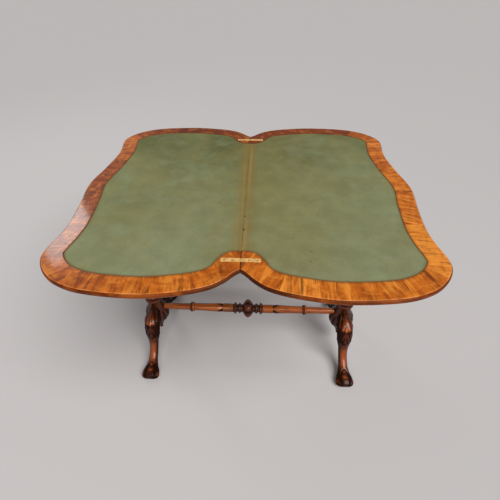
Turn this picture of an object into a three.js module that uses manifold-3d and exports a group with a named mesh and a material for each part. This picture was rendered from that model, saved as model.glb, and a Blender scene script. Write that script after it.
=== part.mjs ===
// A serpentine card table on two carved end supports, shown open.
// The double top turns a quarter on a pivot, and its left leaf folds over the right one.
// Millimetres, +Z up. The origin is on the floor under the middle of the open top.
// X runs along the stretcher, and the joint between the two leaves runs along Y.
import * as THREE from 'three';
import { mergeVertices } from 'three/addons/utils/BufferGeometryUtils.js';
import Module from 'manifold-3d';

const wasm = await Module();
wasm.setup();

// Leaves
const tableHeight = 740; // floor to the open playing surface
const leafDepth = 468; // joint to the middle of a long side
const leafLength = 832; // end to end at the top arris
const leafThickness = 16;
const edgeProjection = 3.5; // how far the moulded edge stands out past the arris
const bandWidth = 48; // crossbanding round the baize
const archDepth = 56; // banding at the joint, from the outline's tip to the baize
const archHalfWidth = 58; // joint to where that arch meets the even banding
const archRoundShare = 0.8; // below 1 the arch is flatter on top than an ellipse
const veneerThickness = 1.5;
const baizeThickness = 1.1;
const leafJointGap = 0.6; // between the two leaves when open
const foldGap = 0.6; // between the two leaves when folded
// Half an outline from the joint round to the middle of the long side,
// as shares of the leaf's depth and of half its length
const leafOutlineShares = [
  [0, 0.809], [0.03, 0.836], [0.075, 0.887], [0.145, 0.937], [0.272, 0.976], [0.46, 1], [0.694, 0.98],
  [0.83, 0.931], [0.915, 0.86], [0.966, 0.775], [0.976, 0.7], [0.957, 0.565], [0.952, 0.44],
  [0.972, 0.23], [0.993, 0.09], [1, 0],
];
// The edge moulding downwards: share of its projection, share of the thickness under the veneer
const edgeProfileShares = [[0, 0], [0.65, 0.07], [1, 0.3], [0.9, 0.58], [0.35, 0.8], [-0.3, 1]];
const outlineSteps = 54;

// Card table hinges: two plates let in flush, joined by a short link on two pins
const hingeInset = 26; // plate middle from the outline's tip at the joint
const plateLength = 44.5;
const plateWidth = 12;
const plateThickness = 2.2;
const linkPinDepth = 2.4; // pin middle below the playing surface
const linkPinRadius = 1;
const linkRadius = 2.1;
const linkWidth = 5;
const cheekMargin = 1.6; // brass round the link's pocket
const bevelShare = 0.65; // joint bevel as a share of the pin depth
const plateScrewShares = [0.42, 0.84]; // places along a plate
const screwHeadRadius = 2.8;
const screwShankRadius = 1.3;
const screwLength = 9;
const screwSlotWidth = 0.7;

// Pivot under the fixed leaf
const pivotPlateRadius = 36;
const pivotPlateThickness = 3;
const pivotBoltRadius = 6;
const pivotHeadRadius = 11;
const pivotHeadHeight = 4;
const pivotWasherRadius = 14;
const pivotWasherThickness = 2.5;
const pivotNutRadius = 11;
const pivotNutHeight = 9;
const nutSides = 6;
const pivotScrewCircle = 25; // radius of the circle through the plate's screws
const stopRadius = 58; // quadrant groove's middle line round the pivot
const stopDowelRadius = 4;
const stopDowelRise = 6;
const stopDowelSeat = 14;

// Frame under the top
const frameInset = 28; // closed top's arris to the frame's face
const frameHeight = 62;
const railThickness = 22;
const endRailReturn = 52; // how far an end rail turns the corner
const swivelGap = 0.5; // under the leaves, where they slide round
const bearerWidth = 76; // the beam that carries the pivot
const bearerHeight = 30;
const partitionThickness = 9;
const wellBoardThickness = 6;
const cornerBlockLength = 40; // along the rail
const cornerBlockDepth = 28; // from the wall at the rail joint inwards

// End supports
const pillarInset = 22; // frame's end to a pillar's axis
const topBeamLength = 300;
const topBeamWidth = 52;
const topBeamHeight = 26;
const pillarRadius = 34;
const pillarFoot = 84; // floor to the underside of the hub
const pillarTenonRadius = 14;
const pillarTenonLength = 22;
// A pillar upwards: share of its radius, share of its height from the hub to the frame
const pillarShares = [
  [0.42, 0], [0.68, 0.016], [1.03, 0.042], [1.28, 0.071], [1.38, 0.1], [1.34, 0.126], [1.18, 0.151],
  [0.98, 0.176], [0.86, 0.2], [0.82, 0.242], [0.95, 0.252], [1, 0.26], [0.95, 0.268], [0.84, 0.281],
  [0.95, 0.291], [1, 0.299], [0.95, 0.307], [0.76, 0.316], [0.65, 0.35], [0.7, 0.4], [0.9, 0.48],
  [1, 0.56], [0.96, 0.62], [0.72, 0.72], [0.57, 0.8], [0.6, 0.842], [0.88, 0.848], [0.9, 0.862],
  [0.64, 0.872], [0.68, 0.9], [0.95, 0.94], [1, 0.955], [1, 1],
];
const finialRadius = 15;
const finialBottom = 37; // floor to the drop's tip
const finialSpigotRadius = 6;
const finialSpigotLength = 13;
// A drop upwards: share of its radius, share of its height
const finialShares = [
  [0.3, 0.03], [0.42, 0.13], [0.3, 0.25], [0.5, 0.33], [0.55, 0.38], [0.5, 0.43], [0.75, 0.58],
  [0.93, 0.78], [0.93, 1],
];
const finialLobes = 8;
const finialLobeShare = 0.05;

// Cabriole legs
const legReach = 216; // pillar axis to the toe
const legRise = 168; // floor to the leg's middle where it meets the hub
const footWidth = 66;
const legDowelRadius = 7;
const legDowelLength = 38;
const legDowelStart = 27; // pillar axis to the dowel's inner end
// A leg's middle line outwards: shares of its reach and rise, then its half width
// and half depth as shares of the foot's width
const legShares = [
  [0.08, 0.94, 0.33, 0.5], [0.2, 1, 0.4, 0.49], [0.3, 0.99, 0.44, 0.43], [0.365, 0.9, 0.44, 0.37],
  [0.405, 0.78, 0.41, 0.32], [0.435, 0.65, 0.36, 0.27], [0.465, 0.52, 0.28, 0.24],
  [0.51, 0.39, 0.25, 0.22], [0.58, 0.28, 0.245, 0.21], [0.67, 0.2, 0.255, 0.215],
  [0.77, 0.14, 0.33, 0.25], [0.86, 0.1, 0.46, 0.28], [0.93, 0.084, 0.5, 0.255],
  [0.98, 0.074, 0.44, 0.21], [1, 0.068, 0.3, 0.13],
];
const legSections = 20;
const legSides = 12;
const toeLobes = 7;
const toeLobeShare = 0.07;
const toeStartShare = 0.66; // where along the middle line the toes begin

// Stretcher
const stretcherHeight = 174;
const rodRadius = 16; // beside the middle boss
const rodTenonRadius = 7.5;
const rodTenonLength = 16;
const bossReach = 58; // half of the middle boss's length
const bossRadius = 35;
const bossLobes = 6;
const bossLobeShare = 0.07;
// A rod from the boss out to the pillar: share of its radius, share of its length
const rodShares = [
  [1, 0], [1.02, 0.08], [1, 0.138], [0.8, 0.148], [1, 0.215], [0.95, 0.3], [0.86, 0.56], [1.12, 0.572],
  [1.18, 0.585], [1.12, 0.598], [0.82, 0.61], [0.76, 0.75], [0.7, 1],
];
// Half of the boss from its middle outwards: share of its radius, share of its reach
const bossShares = [
  [1, 0], [0.94, 0.14], [0.74, 0.27], [0.5, 0.32], [0.4, 0.36], [0.41, 0.46], [0.52, 0.5], [0.55, 0.56],
  [0.52, 0.62], [0.44, 0.66], [0.44, 0.76], [0.58, 0.8], [0.63, 0.86], [0.58, 0.92], [0.48, 0.95], [0.47, 1],
];
const bossLobedShare = 0.32; // how far along the boss its lobes reach

// Clearances
const glueGap = 0.2; // between layers of the top
const fitGap = 0.3; // between fitted pieces
const turningGap = 0.15; // round a pin
const overrun = 20; // cuts run this far past a face

const halfTurn = Math.PI;
const roundSides = 14;
const smallSides = 8;
const bossSides = 18;

// Levels and places that follow from the sizes above
const undersideLevel = tableHeight - leafThickness;
const boardLevel = tableHeight - veneerThickness - glueGap;
const jointFace = leafJointGap / 2;
const jointBevel = bevelShare * linkPinDepth;
const linkPinSetback = linkPinDepth + foldGap / 2;
const linkPinLevel = tableHeight - linkPinDepth;
const tipReach = leafOutlineShares[0][1] * leafLength / 2;
const archSteps = Array.from({ length: smallSides }, (_, i) => (halfTurn / 2) * (i / smallSides));
const hingeY = tipReach - hingeInset;
const pivotPlace = leafDepth / 4; // in X and in Y, so that the closed top is centred on the frame
const frameTop = undersideLevel - swivelGap;
const frameBottom = frameTop - frameHeight;
const frameBack = leafDepth / 2 - frameInset;
const frameHalfLength = leafLength / 2 - frameInset;
const pillarX = frameHalfLength - pillarInset;
const beamTop = frameBottom - fitGap;
const pillarTop = beamTop - topBeamHeight - fitGap;
const pillarHeight = pillarTop - pillarFoot;
const rodLength = pillarX - pillarRadius - bossReach;
const farPoint = leafLength + leafDepth; // past the whole top

// Solids from three.js geometry, and cuts between them

function solid(geometry) {
  const bare = geometry.clone();
  bare.deleteAttribute('normal');
  bare.deleteAttribute('uv');
  const merged = mergeVertices(bare);
  const corners = Array.from(merged.index.array);
  const kept = [];
  for (let i = 0; i < corners.length; i += 3) {
    const [a, b, c] = corners.slice(i, i + 3);
    if (a !== b && b !== c && c !== a) kept.push(a, b, c);
  }
  const vertProperties = new Float32Array(merged.attributes.position.array);
  return new wasm.Manifold(new wasm.Mesh({ numProp: 3, vertProperties, triVerts: new Uint32Array(kept) }));
}

function surface(shape) {
  const mesh = shape.getMesh();
  const geometry = new THREE.BufferGeometry();
  geometry.setAttribute('position', new THREE.BufferAttribute(new Float32Array(mesh.vertProperties), 3));
  geometry.setIndex(new THREE.BufferAttribute(new Uint32Array(mesh.triVerts), 1));
  return geometry;
}

function mirrored(geometry) {
  const copy = mergeVertices(geometry);
  copy.scale(-1, 1, 1);
  const order = copy.index.array;
  for (let i = 0; i < order.length; i += 3) [order[i], order[i + 1]] = [order[i + 1], order[i]];
  return copy;
}

// A box between two corners
function block(x0, x1, y0, y1, z0, z1) {
  const geometry = new THREE.BoxGeometry(x1 - x0, y1 - y0, z1 - z0);
  return solid(geometry.translate((x0 + x1) / 2, (y0 + y1) / 2, (z0 + z1) / 2));
}

// A flat shape given a depth along Z
function extruded(shape, depth, curveSegments = smallSides) {
  return new THREE.ExtrudeGeometry(shape, { depth, bevelEnabled: false, curveSegments });
}

// A flat outline raised from one level to another
function prism(points, z0, z1) {
  return solid(extruded(new THREE.Shape(points), z1 - z0).translate(0, 0, z0));
}

// A round bar standing at a place
function upright(x, y, z0, z1, radius, sides = roundSides) {
  const geometry = new THREE.CylinderGeometry(radius, radius, z1 - z0, sides);
  return solid(geometry.rotateX(halfTurn / 2).translate(x, y, (z0 + z1) / 2));
}

// A round bar along X or along Y, between two points
function barAlongX(x0, x1, y, z, radius, sides = roundSides) {
  const geometry = new THREE.CylinderGeometry(radius, radius, x1 - x0, sides);
  return solid(geometry.rotateZ(halfTurn / 2).translate((x0 + x1) / 2, y, z));
}

function barAlongY(x, y0, y1, z, radius, sides = roundSides) {
  const geometry = new THREE.CylinderGeometry(radius, radius, y1 - y0, sides);
  return solid(geometry.translate(x, (y0 + y1) / 2, z));
}

// A turned piece about Z from a profile of [radius, level], both ends on the axis.
// Lobes swell and shrink the radius round the piece below a level.
function turned(profile, sides, lobes = 0, lobeShare = 0, isLobed = () => false) {
  const points = profile.map(([radius, level]) => new THREE.Vector2(radius, level));
  const geometry = new THREE.LatheGeometry(points, sides).rotateX(halfTurn / 2);
  const place = geometry.attributes.position;
  for (let i = 0; i < place.count; i++) {
    if (!isLobed(place.getZ(i))) continue;
    const swell = 1 + lobeShare * Math.cos(lobes * Math.atan2(place.getY(i), place.getX(i)));
    place.setXY(i, place.getX(i) * swell, place.getY(i) * swell);
  }
  return solid(geometry);
}

// A skin through rings of points, closed at both ends
function loft(rings) {
  const sides = rings[0].length;
  const first = new THREE.Vector3();
  const last = new THREE.Vector3();
  rings[0].forEach((point) => first.addScaledVector(point, 1 / sides));
  rings[rings.length - 1].forEach((point) => last.addScaledVector(point, 1 / sides));
  const points = [...rings.flat(), first, last];
  const order = [];
  for (let k = 0; k < sides; k++) {
    const next = (k + 1) % sides;
    const end = (rings.length - 1) * sides;
    for (let r = 0; r < rings.length - 1; r++) {
      const a = r * sides + k;
      const b = r * sides + next;
      order.push(a, b, b + sides, a, b + sides, a + sides);
    }
    order.push(points.length - 2, next, k, points.length - 1, end + k, end + next);
  }
  const geometry = new THREE.BufferGeometry().setFromPoints(points);
  geometry.setIndex(order);
  return solid(geometry);
}

// The leaf outline and its offsets

const leafPath = (() => {
  const half = leafOutlineShares.map(([x, y]) => new THREE.Vector2(x * leafDepth, y * leafLength / 2));
  const near = half.map((point) => new THREE.Vector2(point.x, -point.y));
  return new THREE.SplineCurve([...near, ...half.slice(0, -1).reverse()]);
})();
const leafPoints = leafPath.getSpacedPoints(outlineSteps);
const leafNormals = leafPoints.map((_, i) => {
  const before = leafPoints[Math.max(i - 1, 0)];
  const after = leafPoints[Math.min(i + 1, outlineSteps)];
  const along = after.clone().sub(before).normalize();
  return new THREE.Vector2(along.y, -along.x);
});

// The outline moved outwards by a distance for each point, and carried on past the joint
function leafOutline(outset) {
  const points = leafPoints.map((point, i) => point.clone().addScaledVector(leafNormals[i], outset(point)));
  const start = new THREE.Vector2(-overrun, points[0].y);
  const end = new THREE.Vector2(-overrun, points[points.length - 1].y);
  return [start, ...points, end];
}

// The banding's inner edge: even round the leaf, with a flat-topped arch at each end of the joint
function bandEdge(clearance) {
  const inset = bandWidth + clearance;
  const even = leafOutline(() => -inset).filter((point) => point.x > archHalfWidth + clearance);
  const arch = (foot) => {
    const top = Math.sign(foot.y) * (tipReach - archDepth - clearance);
    return archSteps.map((step) => {
      const along = foot.x * Math.sin(step) ** archRoundShare;
      return new THREE.Vector2(along, foot.y + (top - foot.y) * Math.cos(step) ** archRoundShare);
    });
  };
  const start = arch(even[0]);
  const end = arch(even[even.length - 1]).reverse();
  const near = new THREE.Vector2(-overrun, start[0].y);
  const far = new THREE.Vector2(-overrun, end[end.length - 1].y);
  return [near, ...start, ...even, ...end, far];
}

// The space right of the joint face, with the small bevel along its top arris
function rightOfJoint() {
  const side = block(jointFace, farPoint, -farPoint, farPoint, -farPoint, farPoint);
  const wedge = [
    new THREE.Vector2(jointFace - overrun, tableHeight + overrun),
    new THREE.Vector2(jointFace - overrun, tableHeight - jointBevel - overrun),
    new THREE.Vector2(jointFace + jointBevel + overrun, tableHeight + overrun),
  ];
  const long = extruded(new THREE.Shape(wedge), 2 * farPoint).rotateX(halfTurn / 2);
  return side.subtract(solid(long.translate(0, farPoint, 0)));
}

// Card table hinges, drawn for the right leaf

const cheekEnd = linkPinSetback + linkRadius + cheekMargin;
const cheekDepth = linkPinDepth + linkRadius + cheekMargin;
const screwPlaces = plateScrewShares.map((share) => jointFace + share * plateLength);

function plateBody(y, gap) {
  const half = plateWidth / 2 + gap;
  const strap = block(jointFace - gap, jointFace + plateLength + gap, y - half, y + half,
    tableHeight - plateThickness - gap, tableHeight + (gap > 0 ? overrun : 0));
  const cheeks = block(jointFace - gap, cheekEnd + gap, y - half, y + half,
    tableHeight - cheekDepth - gap, tableHeight + (gap > 0 ? overrun : 0));
  return strap.add(cheeks);
}

function linkPocket(y) {
  const half = linkWidth / 2 + fitGap;
  return block(-overrun, linkPinSetback + linkRadius + fitGap, y - half, y + half,
    linkPinLevel - linkRadius - fitGap, tableHeight + overrun);
}

function plateScrew(x, y, gap) {
  const rim = tableHeight - fitGap + gap;
  const neck = rim - (screwHeadRadius - screwShankRadius);
  return solid(new THREE.LatheGeometry([
    new THREE.Vector2(0, tableHeight - screwLength - gap),
    new THREE.Vector2(screwShankRadius + gap, tableHeight - screwLength - gap),
    new THREE.Vector2(screwShankRadius + gap, neck),
    new THREE.Vector2(screwHeadRadius + gap, rim),
    new THREE.Vector2(0, rim),
  ], smallSides).rotateX(halfTurn / 2).translate(x, y, 0));
}

function screwHole(x, y) {
  const rim = tableHeight + overrun;
  const wide = screwHeadRadius + glueGap;
  return plateScrew(x, y, glueGap).add(upright(x, y, tableHeight - fitGap, rim, wide, smallSides));
}

function hingePlate(y) {
  let plate = plateBody(y, 0).subtract(linkPocket(y));
  plate = plate.subtract(barAlongY(linkPinSetback, y - plateWidth, y + plateWidth, linkPinLevel,
    linkPinRadius + turningGap, smallSides));
  screwPlaces.forEach((x) => { plate = plate.subtract(screwHole(x, y)); });
  return plate.intersect(rightOfJoint());
}

function slottedScrew(x, y) {
  const across = screwHeadRadius * 2;
  const half = screwSlotWidth / 2;
  const slot = block(x - across, x + across, y - half, y + half,
    tableHeight - fitGap - screwSlotWidth, tableHeight + overrun);
  return plateScrew(x, y, 0).subtract(slot);
}

function linkPin(x, y) {
  const half = plateWidth / 2 - fitGap;
  return barAlongY(x, y - half, y + half, linkPinLevel, linkPinRadius, smallSides);
}

function hingeLink(y) {
  const half = linkWidth / 2;
  let link = block(-linkPinSetback, linkPinSetback, y - half, y + half,
    linkPinLevel - linkRadius, linkPinLevel + linkRadius);
  for (const x of [-linkPinSetback, linkPinSetback]) {
    link = link.add(barAlongY(x, y - half, y + half, linkPinLevel, linkRadius, smallSides));
  }
  for (const x of [-linkPinSetback, linkPinSetback]) {
    link = link.subtract(barAlongY(x, y - plateWidth, y + plateWidth, linkPinLevel,
      linkPinRadius + turningGap, smallSides));
  }
  return link;
}

function hingeBeds() {
  let beds = plateBody(hingeY, glueGap).add(plateBody(-hingeY, glueGap));
  for (const y of [-hingeY, hingeY]) {
    screwPlaces.forEach((x) => { beds = beds.add(screwHole(x, y)); });
  }
  return beds;
}

// Leaves, drawn for the right leaf

const bandingTrim = rightOfJoint().subtract(hingeBeds());

function leafBoard() {
  const depth = boardLevel - undersideLevel;
  const rings = edgeProfileShares.map(([out, down]) => (
    leafOutline(() => out * edgeProjection).map((point) => (
      new THREE.Vector3(point.x, point.y, boardLevel - down * depth)))));
  return loft(rings.reverse()).intersect(bandingTrim);
}

function crossBand() {
  const outer = prism(leafOutline(() => 0), tableHeight - veneerThickness, tableHeight);
  const inner = prism(bandEdge(0), boardLevel - overrun, tableHeight + overrun);
  return outer.subtract(inner).intersect(bandingTrim);
}

function baizePanel() {
  const bed = tableHeight - veneerThickness;
  return prism(bandEdge(glueGap), bed, bed + baizeThickness).intersect(rightOfJoint());
}

// Pivot: a plate screwed up under the fixed leaf holds a bolt that turns in the bearer

const boltHeadTop = undersideLevel + pivotPlateThickness + pivotHeadHeight;
const washerTop = frameTop - bearerHeight - fitGap;
const nutTop = washerTop - pivotWasherThickness - fitGap;
const boltEnd = nutTop - pivotNutHeight - pivotHeadHeight;
const pivotScrewPlaces = [-1, 1].map((side) => [pivotPlace + side * pivotScrewCircle, pivotPlace]);

function pivotBolt() {
  const neck = undersideLevel + pivotPlateThickness + fitGap;
  const shank = upright(pivotPlace, pivotPlace, boltEnd, boltHeadTop, pivotBoltRadius);
  return shank.add(upright(pivotPlace, pivotPlace, neck, boltHeadTop, pivotHeadRadius));
}

function pivotScrew(x, y, gap) {
  const head = screwHeadRadius + gap;
  const shank = screwShankRadius + gap;
  const rim = undersideLevel + glueGap - gap;
  return solid(new THREE.LatheGeometry([
    new THREE.Vector2(0, rim),
    new THREE.Vector2(head, rim),
    new THREE.Vector2(shank, rim + head - shank),
    new THREE.Vector2(shank, rim + screwLength + gap),
    new THREE.Vector2(0, rim + screwLength + gap),
  ], smallSides).rotateX(halfTurn / 2).translate(x, y, 0));
}

function pivotPlate() {
  const top = undersideLevel + pivotPlateThickness;
  let plate = upright(pivotPlace, pivotPlace, undersideLevel, top, pivotPlateRadius, 2 * roundSides);
  plate = plate.subtract(upright(pivotPlace, pivotPlace, undersideLevel - overrun, top + overrun,
    pivotBoltRadius + fitGap));
  pivotScrewPlaces.forEach(([x, y]) => {
    const mouth = upright(x, y, undersideLevel - overrun, undersideLevel + glueGap,
      screwHeadRadius + glueGap, smallSides);
    plate = plate.subtract(pivotScrew(x, y, glueGap)).subtract(mouth);
  });
  return plate;
}

// The quadrant groove that the stop dowel runs in, a quarter turn and both round ends
function stopGroove() {
  const half = stopDowelRadius + fitGap;
  const shape = new THREE.Shape();
  shape.absarc(0, 0, stopRadius + half, -halfTurn / 2, 0, false);
  shape.absarc(stopRadius, 0, half, 0, halfTurn, false);
  shape.absarc(0, 0, stopRadius - half, 0, -halfTurn / 2, true);
  shape.absarc(0, -stopRadius, half, halfTurn / 2, 3 * halfTurn / 2, false);
  const groove = extruded(shape, stopDowelRise + fitGap + overrun);
  return solid(groove.translate(pivotPlace, pivotPlace, undersideLevel - overrun));
}

function pivotBeds() {
  const plateTop = undersideLevel + pivotPlateThickness + glueGap;
  let beds = upright(pivotPlace, pivotPlace, undersideLevel - overrun, plateTop,
    pivotPlateRadius + fitGap, 2 * roundSides);
  beds = beds.add(upright(pivotPlace, pivotPlace, undersideLevel, boltHeadTop + fitGap,
    pivotHeadRadius + fitGap));
  pivotScrewPlaces.forEach(([x, y]) => { beds = beds.add(pivotScrew(x, y, glueGap)); });
  return beds.add(stopGroove());
}

function stopDowel() {
  return upright(pivotPlace, pivotPlace - stopRadius, frameTop - stopDowelSeat,
    undersideLevel + stopDowelRise, stopDowelRadius);
}

function ringAround(z0, z1, outer, inner, sides) {
  const disc = upright(pivotPlace, pivotPlace, z0, z1, outer, sides);
  return disc.subtract(upright(pivotPlace, pivotPlace, z0 - overrun, z1 + overrun, inner));
}

// Frame: its plan is the closed top's outline, drawn in by a distance

function frameOutline(inset) {
  return leafOutline(() => -inset).map((point) => new THREE.Vector2(point.y, leafDepth / 2 - point.x));
}

function framePlan(inset, z0, z1) {
  const back = leafDepth / 2 - inset;
  const space = block(-farPoint, farPoint, -farPoint, back, z0 - overrun, z1 + overrun);
  return prism(frameOutline(inset).reverse(), z0, z1).intersect(space);
}

function insideFrame(z0, z1, gap = fitGap) {
  return framePlan(frameInset + railThickness + gap, z0, z1);
}

const railJoint = frameHalfLength - endRailReturn;

function rails() {
  const space = insideFrame(frameBottom - overrun, frameTop + overrun, 0);
  const ring = framePlan(frameInset, frameBottom, frameTop).subtract(space);
  const part = (x0, x1, y0, y1) => ring.intersect(block(x0, x1, y0, y1, -farPoint, farPoint));
  const side = railJoint - fitGap;
  return {
    frieze_front: part(-side, side, -farPoint, 0),
    frieze_back: part(-side, side, 0, farPoint),
    frieze_left: part(-farPoint, -railJoint, -farPoint, farPoint),
    frieze_right: part(railJoint, farPoint, -farPoint, farPoint),
  };
}

const partitionX = pivotPlace - bearerWidth / 2 - fitGap - partitionThickness;
const wellFloor = frameBottom + wellBoardThickness;

function pivotBearer() {
  const underside = frameTop - bearerHeight;
  const half = bearerWidth / 2;
  const beam = insideFrame(underside, frameTop).intersect(block(pivotPlace - half, pivotPlace + half,
    -farPoint, farPoint, -farPoint, farPoint));
  const boltHole = upright(pivotPlace, pivotPlace, underside - overrun, frameTop + overrun,
    pivotBoltRadius + fitGap);
  const dowelHole = upright(pivotPlace, pivotPlace - stopRadius, frameTop - stopDowelSeat - fitGap,
    frameTop + overrun, stopDowelRadius + fitGap);
  return beam.subtract(boltHole).subtract(dowelHole);
}

function wellPartition() {
  const slice = block(partitionX, partitionX + partitionThickness, -farPoint, farPoint,
    -farPoint, farPoint);
  return insideFrame(wellFloor + fitGap, frameTop).intersect(slice);
}

function wellBoard() {
  const side = block(-farPoint, partitionX + partitionThickness, -farPoint, farPoint, -farPoint, farPoint);
  return insideFrame(frameBottom, wellFloor).intersect(side);
}

// How far back the inner wall lies where the rails meet, near or far
function wallAtJoint(end) {
  const wall = frameOutline(frameInset + railThickness).filter((point) => point.y * end > 0);
  const offset = (point) => Math.abs(point.x - railJoint);
  return wall.reduce((best, point) => (offset(point) < offset(best) ? point : best)).y;
}

function cornerBlock(side, end) {
  const x = side * railJoint;
  const half = cornerBlockLength / 2;
  const face = wallAtJoint(end) - end * cornerBlockDepth;
  const wall = end * farPoint;
  const column = block(x - half, x + half, Math.min(wall, face), Math.max(wall, face), -farPoint, farPoint);
  return insideFrame(wellFloor + fitGap, frameTop - fitGap).intersect(column);
}

// End supports

function topBeam(side) {
  const x = side * pillarX;
  const half = topBeamWidth / 2;
  const reach = topBeamLength / 2 - half;
  const shape = new THREE.Shape();
  shape.absarc(x, reach, half, 0, halfTurn, false);
  shape.absarc(x, -reach, half, halfTurn, 2 * halfTurn, false);
  const underside = beamTop - topBeamHeight;
  const beam = solid(extruded(shape, topBeamHeight).translate(0, 0, underside));
  return beam.subtract(upright(x, 0, underside - overrun, underside + pillarTenonLength + fitGap,
    pillarTenonRadius + fitGap));
}

function pillarProfile(gap) {
  return pillarShares.map(([radius, level]) => (
    [radius * pillarRadius + gap, pillarFoot + level * pillarHeight]));
}

// The pillar's outside alone, grown by a gap, at a pillar's place
function pillarShell(gap) {
  const profile = pillarProfile(gap);
  const [firstRadius] = profile[0];
  const start = [[0, pillarFoot - gap], [firstRadius, pillarFoot - gap]];
  return turned([...start, ...profile.slice(1), [0, pillarTop]], roundSides);
}

function dowelBars(gap) {
  const start = legDowelStart - gap;
  const reach = legDowelStart + legDowelLength + gap;
  return [[-reach, -start], [start, reach]].map(([y0, y1]) => (
    barAlongY(0, y0, y1, legRise, legDowelRadius + gap, smallSides)));
}

function pillar(side) {
  const socketTop = pillarFoot + finialSpigotLength + fitGap;
  const socket = finialSpigotRadius + fitGap;
  const tenonTop = pillarTop + pillarTenonLength;
  const bottom = [[0, socketTop], [socket, socketTop], [socket, pillarFoot]];
  const top = [[pillarTenonRadius, pillarTop], [pillarTenonRadius, tenonTop], [0, tenonTop]];
  const [near, far] = dowelBars(fitGap);
  const inward = -side * (pillarRadius - rodTenonLength - fitGap);
  const outward = -side * pillarRadius * 2;
  const rodHole = barAlongX(Math.min(inward, outward), Math.max(inward, outward), 0,
    stretcherHeight, rodTenonRadius + fitGap);
  const turning = turned([...bottom, ...pillarProfile(0), ...top], roundSides);
  return turning.subtract(near).subtract(far).subtract(rodHole).translate([side * pillarX, 0, 0]);
}

function dropFinial(side) {
  const height = pillarFoot - fitGap - finialBottom;
  const profile = finialShares.map(([radius, level]) => (
    [radius * finialRadius, finialBottom + level * height]));
  const top = pillarFoot + finialSpigotLength;
  const ends = [[finialSpigotRadius, pillarFoot - fitGap], [finialSpigotRadius, top], [0, top]];
  const isLobed = (level) => level > finialBottom + height / 2 && level < pillarFoot - 2 * fitGap;
  return turned([[0, finialBottom], ...profile, ...ends], roundSides, finialLobes, finialLobeShare, isLobed)
    .translate([side * pillarX, 0, 0]);
}

// A leg, drawn outwards along Y or against it, before the pillar's surface is cut from its root
function legBody(end) {
  const middle = new THREE.CatmullRomCurve3(legShares.map(([out, up]) => (
    new THREE.Vector3(0, end * out * legReach, up * legRise))));
  const sizes = new THREE.CatmullRomCurve3(legShares.map(([, , wide, deep]) => (
    new THREE.Vector3(wide * footWidth, deep * footWidth, 0))));
  const rings = [];
  for (let s = 0; s <= legSections; s++) {
    const share = s / legSections;
    const centre = middle.getPoint(share);
    const along = middle.getTangent(share);
    const size = sizes.getPoint(share);
    const outward = new THREE.Vector3(0, -end * along.z, end * along.y);
    const toes = share > toeStartShare ? toeLobeShare : 0;
    const ring = [];
    for (let k = 0; k < legSides; k++) {
      const angle = 2 * halfTurn * k / legSides;
      const swell = 1 + toes * Math.cos(toeLobes * (angle - halfTurn / 2));
      const point = centre.clone().addScaledVector(outward, size.y * Math.sin(angle) * swell);
      point.x += size.x * Math.cos(angle) * swell;
      ring.push(point);
    }
    rings.push(end > 0 ? ring.reverse() : ring);
  }
  return loft(rings);
}

function leg(side, end) {
  const [near, far] = dowelBars(fitGap);
  const aboveFloor = block(-farPoint, farPoint, -farPoint, farPoint, 0, farPoint);
  const body = legBody(end).subtract(pillarShell(fitGap)).subtract(end < 0 ? near : far);
  return body.intersect(aboveFloor).translate([side * pillarX, 0, 0]);
}

function legDowel(side, end) {
  const [near, far] = dowelBars(0);
  return (end < 0 ? near : far).translate([side * pillarX, 0, 0]);
}

// Stretcher

function stretcherRod(side) {
  const start = bossReach + fitGap;
  const profile = rodShares.map(([radius, along]) => [radius * rodRadius, start + along * rodLength]);
  const tenonStart = start - rodTenonLength;
  const tenon = [[0, tenonStart], [rodTenonRadius, tenonStart], [rodTenonRadius, start]];
  const end = start + rodLength;
  const standing = surface(turned([...tenon, ...profile, [0, end]], roundSides));
  const lying = solid(standing.rotateY(halfTurn / 2).translate(0, 0, stretcherHeight));
  const coped = lying.subtract(pillarShell(fitGap).translate([pillarX, 0, 0]));
  const tenonEnd = pillarX - pillarRadius + rodTenonLength;
  const rod = coped.add(barAlongX(end - rodTenonLength * 2, tenonEnd, 0, stretcherHeight, rodTenonRadius));
  return side > 0 ? surface(rod) : mirrored(surface(rod));
}

function stretcherBoss() {
  const half = bossShares.map(([radius, along]) => [radius * bossRadius, along * bossReach]);
  const back = half.slice(1).map(([radius, along]) => [radius, -along]).reverse();
  const socketDepth = bossReach - rodTenonLength - fitGap;
  const isLobed = (along) => Math.abs(along) < bossLobedShare * bossReach;
  const profile = [[0, -bossReach], ...back, ...half, [0, bossReach]];
  const standing = surface(turned(profile, bossSides, bossLobes, bossLobeShare, isLobed));
  const lying = solid(standing.rotateY(halfTurn / 2).translate(0, 0, stretcherHeight));
  const radius = rodTenonRadius + fitGap;
  return lying.subtract(barAlongX(socketDepth, bossReach + overrun, 0, stretcherHeight, radius))
    .subtract(barAlongX(-bossReach - overrun, -socketDepth, 0, stretcherHeight, radius));
}

// Materials

function finish(color, roughness, metalness = 0) {
  return new THREE.MeshStandardMaterial({ color, roughness, metalness });
}

const walnut = finish(0xb4641f, 0.35);
const darkWalnut = finish(0x5a2a14, 0.35);
const carvedWalnut = finish(0x63321a, 0.4);
const baize = finish(0x6d7a4b, 0.95);
const brass = finish(0xcaa055, 0.35, 1);
const iron = finish(0x3b3835, 0.6, 1);
const pine = finish(0x9a7245, 0.7);

const table = new THREE.Group();

function put(name, piece, material, group = table) {
  const geometry = piece.isBufferGeometry ? piece : surface(piece);
  const mesh = new THREE.Mesh(geometry, material);
  mesh.name = name;
  group.add(mesh);
}

// The top: the fixed leaf on the right, the folding leaf on the left
const board = leafBoard();
const banding = surface(crossBand());
const panel = surface(baizePanel());
put('fixed_leaf', board.subtract(pivotBeds()), darkWalnut);
put('folding_leaf', mirrored(surface(board)), darkWalnut);
put('fixed_crossband', banding, walnut);
put('folding_crossband', mirrored(banding), walnut);
put('fixed_baize', panel, baize);
put('folding_baize', mirrored(panel), baize);

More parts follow.
